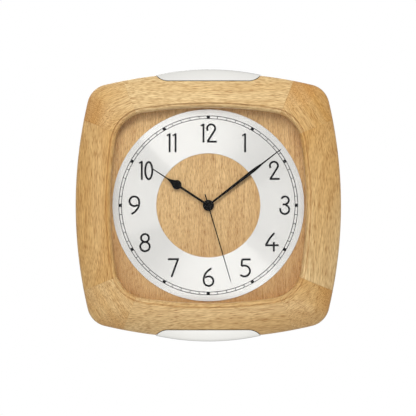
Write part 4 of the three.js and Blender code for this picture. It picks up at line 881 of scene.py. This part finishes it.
# Each hand: its outline, its angle from twelve, the depths of its back and front, and its bore.
HANDS = {
    "hour": (hour_outline, 303.2, 27.9, 28.5, 2.9),
    "minute": (minute_outline, 52.3, 29.3, 29.9, 1.8),
    "second": (second_outline, 163.5, 30.7, 31.1, 0.9),
}
for name, (outline, angle, back, front_depth, bore) in HANDS.items():
    low, high, wall = back - COLLET_HEIGHT, back + OVERLAP, bore + COLLET_WALL
    parts = [hand(f"{name}_blade", outline, back, front_depth, angle),
             turned(f"{name}_collet", [(bore, low), (wall, low), (wall, high), (bore, high)], segments=48)]
    if name == "second":
        rounding = arc(CAP_RADIUS - CAP_ROUND, CAP_FRONT - CAP_ROUND, CAP_ROUND, 90, 0, 7)
        cap_back = front_depth - OVERLAP
        parts.append(turned("cap", [(0, CAP_FRONT), *rounding, (CAP_RADIUS, cap_back), (0, cap_back)],
                            segments=64))
    fit(joined(f"{name}_hand_painted", parts), black_lacquer, "black_lacquer", f"{name}_hand",
        body=f"{name}_group")


# Glass
# A pane of float glass cut to the frame's own outline, with ground edges, held behind the bead.
# Its index is drawn low, as on coated glass, so that it mirrors little of the white surround.
GLASS_WAVE = 60 * MM
clear_glass, tree, place = begun("float_glass")
path = add(tree, "LightPath")
wave = add(tree, "TexNoise", {"Vector": place, "Scale": 1 / GLASS_WAVE, "Detail": 1.0})
rough = add(tree, "MapRange", {"Value": wave, "To Min": 0.0, "To Max": 0.01})
glass = add(tree, "BsdfPrincipled", {"Base Color": WHITE, "Roughness": rough, "IOR": 1.12,
                                     "Transmission Weight": 1.0})
clear = add(tree, "BsdfTransparent")
lit_through = add(tree, "Math", {0: path.outputs["Is Shadow Ray"], 1: path.outputs["Is Diffuse Ray"]},
                  operation="MAXIMUM")
surface = add(tree, "MixShader", {"Fac": lit_through, 1: glass, 2: clear})
add(tree, "OutputMaterial", {"Surface": surface})


def refinish(finish, *nodes):
    """Gives nodes of the frame a finish in place of their own."""
    for node in nodes:
        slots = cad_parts[node].data.materials
        slots.clear()
        slots.append(finish)


refinish(clear_glass, "glass_pane")


# Screws
# Zinc-plated steel screws with domed heads and a cross recess: four hold the inserts, four the
# dial board and two the hanger plate, all driven from behind.
# Each kind: the height of its head, the radius of its shank and half the length of its recess.
SCREWS = {"insert": (1.8, 1.5, 1.9), "board": (1.6, 1.3, 1.7), "hanger": (1.0, 1.3, 1.6)}
THREAD_PITCH, THREAD_DEPTH, SCREW_POINT = 1.1, 0.3, 2.2
CROSS_HALF_WIDTH, CROSS_DEPTH, CROSS_CORNER = 0.3, 0.75, 0.12
DOME_SHARE, DOME_STEPS = 0.75, 7


def placed(node):
    """Where a node lies: across and up to its middle, its back and front depth, and its half width."""
    low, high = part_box(node)
    middle = (low + high) / 2
    return middle.x / MM, (middle.z - dial.z) / MM, -high.y / MM, -low.y / MM, (high.x - low.x) / 2 / MM


def thread(radius, depth, from_depth, to_depth, pitch):
    """The zigzag of a thread's crests and roots."""
    return [(radius - depth * (i % 2), at) for i, at in enumerate(np.arange(from_depth, to_depth, pitch / 2))]


def screw(node, head_height, shank, cross):
    """A screw in a node's place, its domed head to the wall."""
    x, y, back, tip, head = placed(node)
    dome, neck = DOME_SHARE * head_height, back + head_height
    profile = [*arc(0, back + dome, (head, dome), -90, 0, DOME_STEPS), (head, neck), (shank, neck),
               *thread(shank, THREAD_DEPTH, neck + THREAD_PITCH, tip - SCREW_POINT, THREAD_PITCH), (0, tip)]
    made = turned(f"steel_{node}", profile, (x, y), segments=32)
    recess = [slab((x - across, y - up), (x + across, y + up), back - 1, back + CROSS_DEPTH, CROSS_CORNER, 3)
              for across, up in ((cross, CROSS_HALF_WIDTH), (CROSS_HALF_WIDTH, cross))]
    carve(made, *recess)
    return made


# Bright zinc plating, a little cloudy, with the fine grain of the steel under it.
zinc_plate = even_finish("bright_zinc_plate", "#c3c6ca", "#a9adb3", (0.28, 0.42), 0.5, bump=0.1, Metallic=1.0)
for node in [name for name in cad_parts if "screw" in name]:
    kind = next(kind for kind in SCREWS if kind in node)
    fit(screw(node, *SCREWS[kind]), zinc_plate, "zinc_plated_steel", node)


# Hanger plate
# A punched steel plate, let into the back of the top rail, whose keyhole takes the head of a wall
# screw at its wide end and holds it at the narrow one.
HANGER_BACK, HANGER_ARRIS = 1.5, 0.25
HOOK_Y, KEYHOLE_SLOT, KEYHOLE_ENTRY, KEYHOLE_DROP = 152, 2.3, 4.2, 8.2
HANGER_SCREW_X, HANGER_SCREW_Y, HANGER_SCREW_HOLE = 17, 146.5, 1.6


def soften(piece, width, segments=2, angle=30):
    """Rounds a piece's sharp edges."""
    rounded = piece.modifiers.new("rounded", "BEVEL")
    rounded.width, rounded.segments = width * MM, segments
    rounded.limit_method, rounded.angle_limit = "ANGLE", radians(angle)
    settle(piece)


plate = slab((-HANGER_HALF, HANGER_LOW), (HANGER_HALF, HANGER_HIGH), HANGER_BACK, HANGER_FRONT)
through = (HANGER_BACK - 1, HANGER_FRONT + 1)
entry_y = HOOK_Y - KEYHOLE_DROP
carve(plate, drum(0, HOOK_Y, KEYHOLE_SLOT, *through), drum(0, entry_y, KEYHOLE_ENTRY, *through, sides=48),
      slab((-KEYHOLE_SLOT, entry_y), (KEYHOLE_SLOT, HOOK_Y), *through, corner=0.01, steps=2),
      *(drum(x, HANGER_SCREW_Y, HANGER_SCREW_HOLE, *through) for x in (-HANGER_SCREW_X, HANGER_SCREW_X)))
soften(plate, HANGER_ARRIS)
plate.name = "keyhole_plate"
fit(plate, zinc_plate, "zinc_plated_steel", "hanger_plate")


# Movement case
# The case and its cover are moulded in black ABS with rounded arrises; the cover has the battery
# bay cut out, and raised marks for the battery's poles, the buttons and a bare label field.
CASE_ARRIS, COVER_ARRIS = 0.45, 0.25
COVER_FACE, MARK_RISE, MARK_SUNK, MARK_WIDTH, MARK_STEP = 2.1, 0.3, 0.1, 0.55, 0.02
BUTTON_X, BUTTON_Y = 18, 21
COLLAR_INNER, COLLAR_OUTER, COLLAR_FOOT = 2.7, 3.3, 3.5
POLE_X, POLE_Y, POLE_ARM = 28, -25.9, 1.1
LABEL_LEFT, LABEL_RIGHT, LABEL_LOW, LABEL_HIGH = -14, 14, -13, 8
ARROW_RADIUS, WAVE_RADII = 5.4, (4.6, 6.0, 7.4)


def softened_copy(name, node, width):
    """A copy of a node with its flat faces made whole and its arrises rounded."""
    shape = bmesh.new()
    shape.from_mesh(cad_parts[node].data)
    bmesh.ops.remove_doubles(shape, verts=shape.verts, dist=10 * WELD * MM)
    bmesh.ops.dissolve_limit(shape, angle_limit=radians(1), verts=shape.verts, edges=shape.edges)
    piece = laid(name, shape)
    soften(piece, width)
    return piece


mark_foot, mark_top = COVER_FACE + MARK_SUNK, COVER_FACE - MARK_RISE


def raised(points, level=0):
    """A raised line on the cover, a hair higher at each level where lines cross."""
    return ribbon(points, MARK_WIDTH, mark_foot, mark_top - MARK_STEP * level)


arrow = arc(BUTTON_X, BUTTON_Y, ARROW_RADIUS, -20, 200)
arrow_tip = arrow[-1]
marks = [
    raised([(POLE_X - POLE_ARM, POLE_Y), (POLE_X + POLE_ARM, POLE_Y)]),
    raised([(POLE_X, POLE_Y - POLE_ARM), (POLE_X, POLE_Y + POLE_ARM)], level=1),
    raised([(-POLE_X - POLE_ARM, POLE_Y), (-POLE_X + POLE_ARM, POLE_Y)]),
    raised([(LABEL_LEFT, LABEL_LOW), (LABEL_RIGHT, LABEL_LOW), (LABEL_RIGHT, LABEL_HIGH),
            (LABEL_LEFT, LABEL_HIGH), (LABEL_LEFT, LABEL_LOW)]),
    raised(arrow),
    raised([arrow_tip + (-1.5, 1.1), arrow_tip, arrow_tip + (1.6, 1.5)], level=1),
    *(raised(arc(-BUTTON_X, BUTTON_Y, r, 50, 130)) for r in WAVE_RADII),
]
collar = [(COLLAR_INNER, mark_foot), (COLLAR_INNER, mark_top), (COLLAR_OUTER, mark_top),
          (COLLAR_FOOT, mark_foot)]
marks += [turned("collar", collar, (x, BUTTON_Y), segments=48) for x in (-BUTTON_X, BUTTON_X)]

# Spark-eroded tools leave a fine even grain that takes the gloss off the black.
black_abs = even_finish("moulded_black_abs", "#1b1b1d", "#222225", (0.42, 0.58), 0.35, bump=0.35, height=0.03)
for node, width in (("movement_case", CASE_ARRIS), ("movement_cover", COVER_ARRIS)):
    fit(softened_copy(f"abs_{node}", node, width), black_abs, "black_plastic", node)
fit(joined("cover_marks", marks), black_abs, "black_plastic")


# Buttons
# Two small grey acetal buttons with domed ends stand out of the cover: one turns the hands, the
# other asks for the radio signal. A flange keeps each of them in.
BUTTON_RADIUS, BUTTON_DOME, BUTTON_FLANGE = 2.0, 0.5, 0.3
# Moulded acetal is smooth and waxy, with a soft shine.
grey_acetal = even_finish("grey_acetal", "#8d9193", "#85898b", (0.36, 0.46), 0.4, bump=0.1)
for node in ("set_button", "signal_button"):
    x, y, back, inner_end, flange = placed(node)
    profile = [*arc(0, back + BUTTON_DOME, (BUTTON_RADIUS, BUTTON_DOME), -90, 0, 9),
               (BUTTON_RADIUS, inner_end - BUTTON_FLANGE), (flange, inner_end - BUTTON_FLANGE),
               (flange, inner_end), (0, inner_end)]
    fit(turned(f"domed_{node}", profile, (x, y), segments=48), grey_acetal, "grey_plastic", node,
        body=f"{node}_group")


# Battery
# One AA cell: a steel can in a shrunk plastic jacket with rolled ends, a flat negative end and a
# nub at the positive one. Its jacket is plain, with a pale band at the positive end.
CELL_RADIUS, CELL_ROUND, JACKET_INNER, JACKET_BAND = 7.1, 0.5, 5.9, 6.0
JACKET_LOW_INSET, JACKET_HIGH_INSET, JACKET_LIP = 0.1, 0.05, 0.2
NUB_RADIUS, NUB_HEIGHT, NUB_ROUND = 2.75, 1.0, 0.35
CAN_RADIUS, CAN_END_INSET, CAN_FACE, CAN_FACE_EDGE = 6.0, 0.3, 4.2, (4.6, 0.25)

_, cell_y, cell_back, cell_front, cell_half = placed("battery")
cell = {"centre": (cell_y, (cell_back + cell_front) / 2), "segments": 64, "is_lying": True}
shoulder_x = cell_half - NUB_HEIGHT
jacket_low, jacket_high = JACKET_LOW_INSET - cell_half, shoulder_x - JACKET_HIGH_INSET
roll = CELL_RADIUS - CELL_ROUND
jacket = turned("battery_jacket", [
    (JACKET_INNER, jacket_low + JACKET_LIP), (JACKET_INNER, jacket_low),
    *arc(roll, jacket_low + CELL_ROUND, CELL_ROUND, -90, 0, 5),
    *arc(roll, jacket_high - CELL_ROUND, CELL_ROUND, 0, 90, 5),
    (JACKET_INNER, jacket_high), (JACKET_INNER, jacket_high - JACKET_LIP),
], **cell)
can_high = shoulder_x - CAN_END_INSET
can = turned("battery_can", [
    (0, -cell_half), (CAN_FACE, -cell_half), (CAN_FACE_EDGE[0], CAN_FACE_EDGE[1] - cell_half),
    (CAN_RADIUS, CAN_END_INSET - cell_half), (CAN_RADIUS, can_high), (NUB_RADIUS + 0.5, can_high),
    (NUB_RADIUS, can_high + 0.2), (NUB_RADIUS, cell_half - NUB_ROUND), (NUB_RADIUS - NUB_ROUND, cell_half),
    (0, cell_half),
], **cell)

# The jacket is printed film, glossy, in one blue-grey with a silver band.
FILM_CLOUD = 6 * MM
jacket_film, tree, place = begun("printed_jacket_film")
apart = add(tree, "SeparateXYZ", {"Vector": place})
band_x = (shoulder_x - JACKET_BAND) * MM
banded = add(tree, "Math", {0: apart.outputs["X"], 1: band_x}, operation="GREATER_THAN")
cloud = add(tree, "TexNoise", {"Vector": place, "Scale": 1 / FILM_CLOUD, "Detail": 2.0})
film = add(tree, "MixRGB", {"Fac": cloud, "Color1": "#3d5878", "Color2": "#46638a"})
tone = add(tree, "MixRGB", {"Fac": banded, "Color1": film, "Color2": "#c2c6cb"})
ended(tree, tone, cloud, (0.22, 0.3), 0.1, 0.02, **{"Coat Weight": 0.3})
fit(jacket, jacket_film, "battery_jacket", "battery")
fit(can, zinc_plate, "zinc_plated_steel")


# Bushing, nut and washers
# The movement hangs by a threaded brass bushing through the board: a rubber washer behind the
# board, a brass washer and a hexagonal nut in front of it.
BUSHING_BACK, BUSHING_FLANGE_FRONT, BUSHING_FRONT = 14.6, 16.2, 27.1
BUSHING_FLANGE, BUSHING_RADIUS, BUSHING_BORE = 5.0, 3.7, 2.9
BUSHING_PITCH, BUSHING_THREAD, BUSHING_LEAD = 0.75, 0.25, 0.3
NUT_CORNERS, NUT_BORE, NUT_BACK, NUT_FRONT, NUT_ARRIS = 5.3, 4.0, 24.8, 26.8, 0.3
# Each washer: outer and inner radius, back and front depth, and arris.
BRASS_WASHER, RUBBER_WASHER = (6, 4, 24.0, 24.5, 0.1), (7, 4, 18.2, 19.4, 0.25)


def washer(name, outer, inner, back, front_depth, arris):
    """A flat ring with its outer arrises eased."""
    return turned(name, [(inner, back), (outer - arris, back), (outer, back + arris),
                         (outer, front_depth - arris), (outer - arris, front_depth), (inner, front_depth)],
                  segments=64)


# Turned brass shows fine rings from the tool and a warm mirror.
turned_brass = even_finish("turned_brass", "#d2b063", "#c09a4c", (0.22, 0.34), 0.3, bump=0.15, Metallic=1.0)
bushing = turned("brass_bushing", [
    (BUSHING_BORE, BUSHING_BACK), (BUSHING_FLANGE, BUSHING_BACK), (BUSHING_FLANGE, BUSHING_FLANGE_FRONT),
    (BUSHING_RADIUS, BUSHING_FLANGE_FRONT),
    *thread(BUSHING_RADIUS, BUSHING_THREAD, BUSHING_FLANGE_FRONT + 1, BUSHING_FRONT - BUSHING_LEAD,
            BUSHING_PITCH),
    (BUSHING_RADIUS - BUSHING_THREAD, BUSHING_FRONT), (BUSHING_BORE, BUSHING_FRONT),
], segments=64)
fit(bushing, turned_brass, "turned_brass", "threaded_bushing")
nut = drum(0, 0, NUT_CORNERS, NUT_BACK, NUT_FRONT, sides=6)
soften(nut, NUT_ARRIS)
carve(nut, drum(0, 0, NUT_BORE, NUT_BACK - 1, NUT_FRONT + 1, sides=64))
nut.name = "brass_hex_nut"
fit(nut, turned_brass, "turned_brass", "mounting_nut")
fit(washer("brass_ring_washer", *BRASS_WASHER), turned_brass, "turned_brass", "brass_washer")

# Moulded rubber is matt and almost black, with a dusty bloom.
black_rubber = even_finish("moulded_rubber", "#1c1c1d", "#29292a", (0.7, 0.85), 0.4, bump=0.3, height=0.04)
fit(washer("rubber_ring_washer", *RUBBER_WASHER), black_rubber, "black_rubber", "rubber_washer")


# Inside the movement
# Wheels and plate of white nylon, two motors of bare steel laminations with copper coils, nickel
# spring contacts, a green circuit board and a wound ferrite rod: solids of the frame, finished.
# Natural nylon is a warm white that light enters a little.
refinish(even_finish("natural_nylon", "#efece2", "#e6e2d6", (0.4, 0.52), 0.4, bump=0.1),
         "middle_plate", "second_wheel", "minute_wheel", "motion_wheel", "hour_wheel",
         "second_intermediate_wheel", "minute_intermediate_wheel", "second_rotor", "minute_rotor")
# Punched electrical steel is dull and grey with streaks of rolling.
lamination_steel = even_finish("bare_lamination_steel", "#8f9194", "#7f8184", (0.4, 0.55), 0.6, bump=0.15,
                               Metallic=1.0)
refinish(lamination_steel, "second_stator", "minute_stator")
# Nickel-plated spring strip is bright, with a slightly yellow white.
refinish(even_finish("nickel_spring_strip", "#cfcbc1", "#bfbbb1", (0.2, 0.32), 0.5, bump=0.05, Metallic=1.0),
         "positive_contact", "negative_contact")
# Sintered ferrite is charcoal grey, matt and finely pitted.
refinish(even_finish("sintered_ferrite", "#3b3b3d", "#303032", (0.6, 0.78), 0.3, bump=0.5, height=0.03),
         "ferrite_antenna")

# Enamelled copper wire lies in tight turns across the coil; the real 0.1 mm pitch is drawn at 0.4.
WIRE_PITCH = 0.4 * MM
copper_wire, tree, place = begun("enamelled_copper_wire")
wires = add(tree, "TexWave", {"Vector": place, "Scale": WAVE_PERIOD / WIRE_PITCH, "Distortion": 0.4,
                              "Detail": 1.0}, bands_direction="X")
tone = add(tree, "MixRGB", {"Fac": wires, "Color1": "#8c4a22", "Color2": "#c4773f"})
ended(tree, tone, wires, (0.34, 0.26), 0.6, 0.08, **{"Metallic": 0.8, "Coat Weight": 0.4})
refinish(copper_wire, "second_coil", "minute_coil")

# Green solder mask over copper tracks: the tracks show as paler blocks under the glossy lacquer.
TRACE_PITCH, TRACE_SHARE = 1.6 * MM, 0.32
solder_mask, tree, place = begun("solder_mask_laminate")
traces = add(tree, "TexVoronoi", {"Vector": place, "Scale": 1 / TRACE_PITCH}, distance="CHEBYCHEV")
blocks = add(tree, "Math", {0: traces.outputs["Distance"], 1: TRACE_SHARE}, operation="GREATER_THAN")
tone = add(tree, "MixRGB", {"Fac": blocks, "Color1": "#2c6b3d", "Color2": "#1f5230"})
relief = add(tree, "Bump", {"Height": blocks, "Strength": 0.3, "Distance": 0.04 * MM})
rough = add(tree, "MapRange", {"Value": traces.outputs["Distance"], "To Min": 0.32, "To Max": 0.4})
surface = add(tree, "BsdfPrincipled", {"Base Color": tone, "Roughness": rough, "Normal": relief,
                                       "Coat Weight": 0.3})
add(tree, "OutputMaterial", {"Surface": surface})
refinish(solder_mask, "circuit_board")
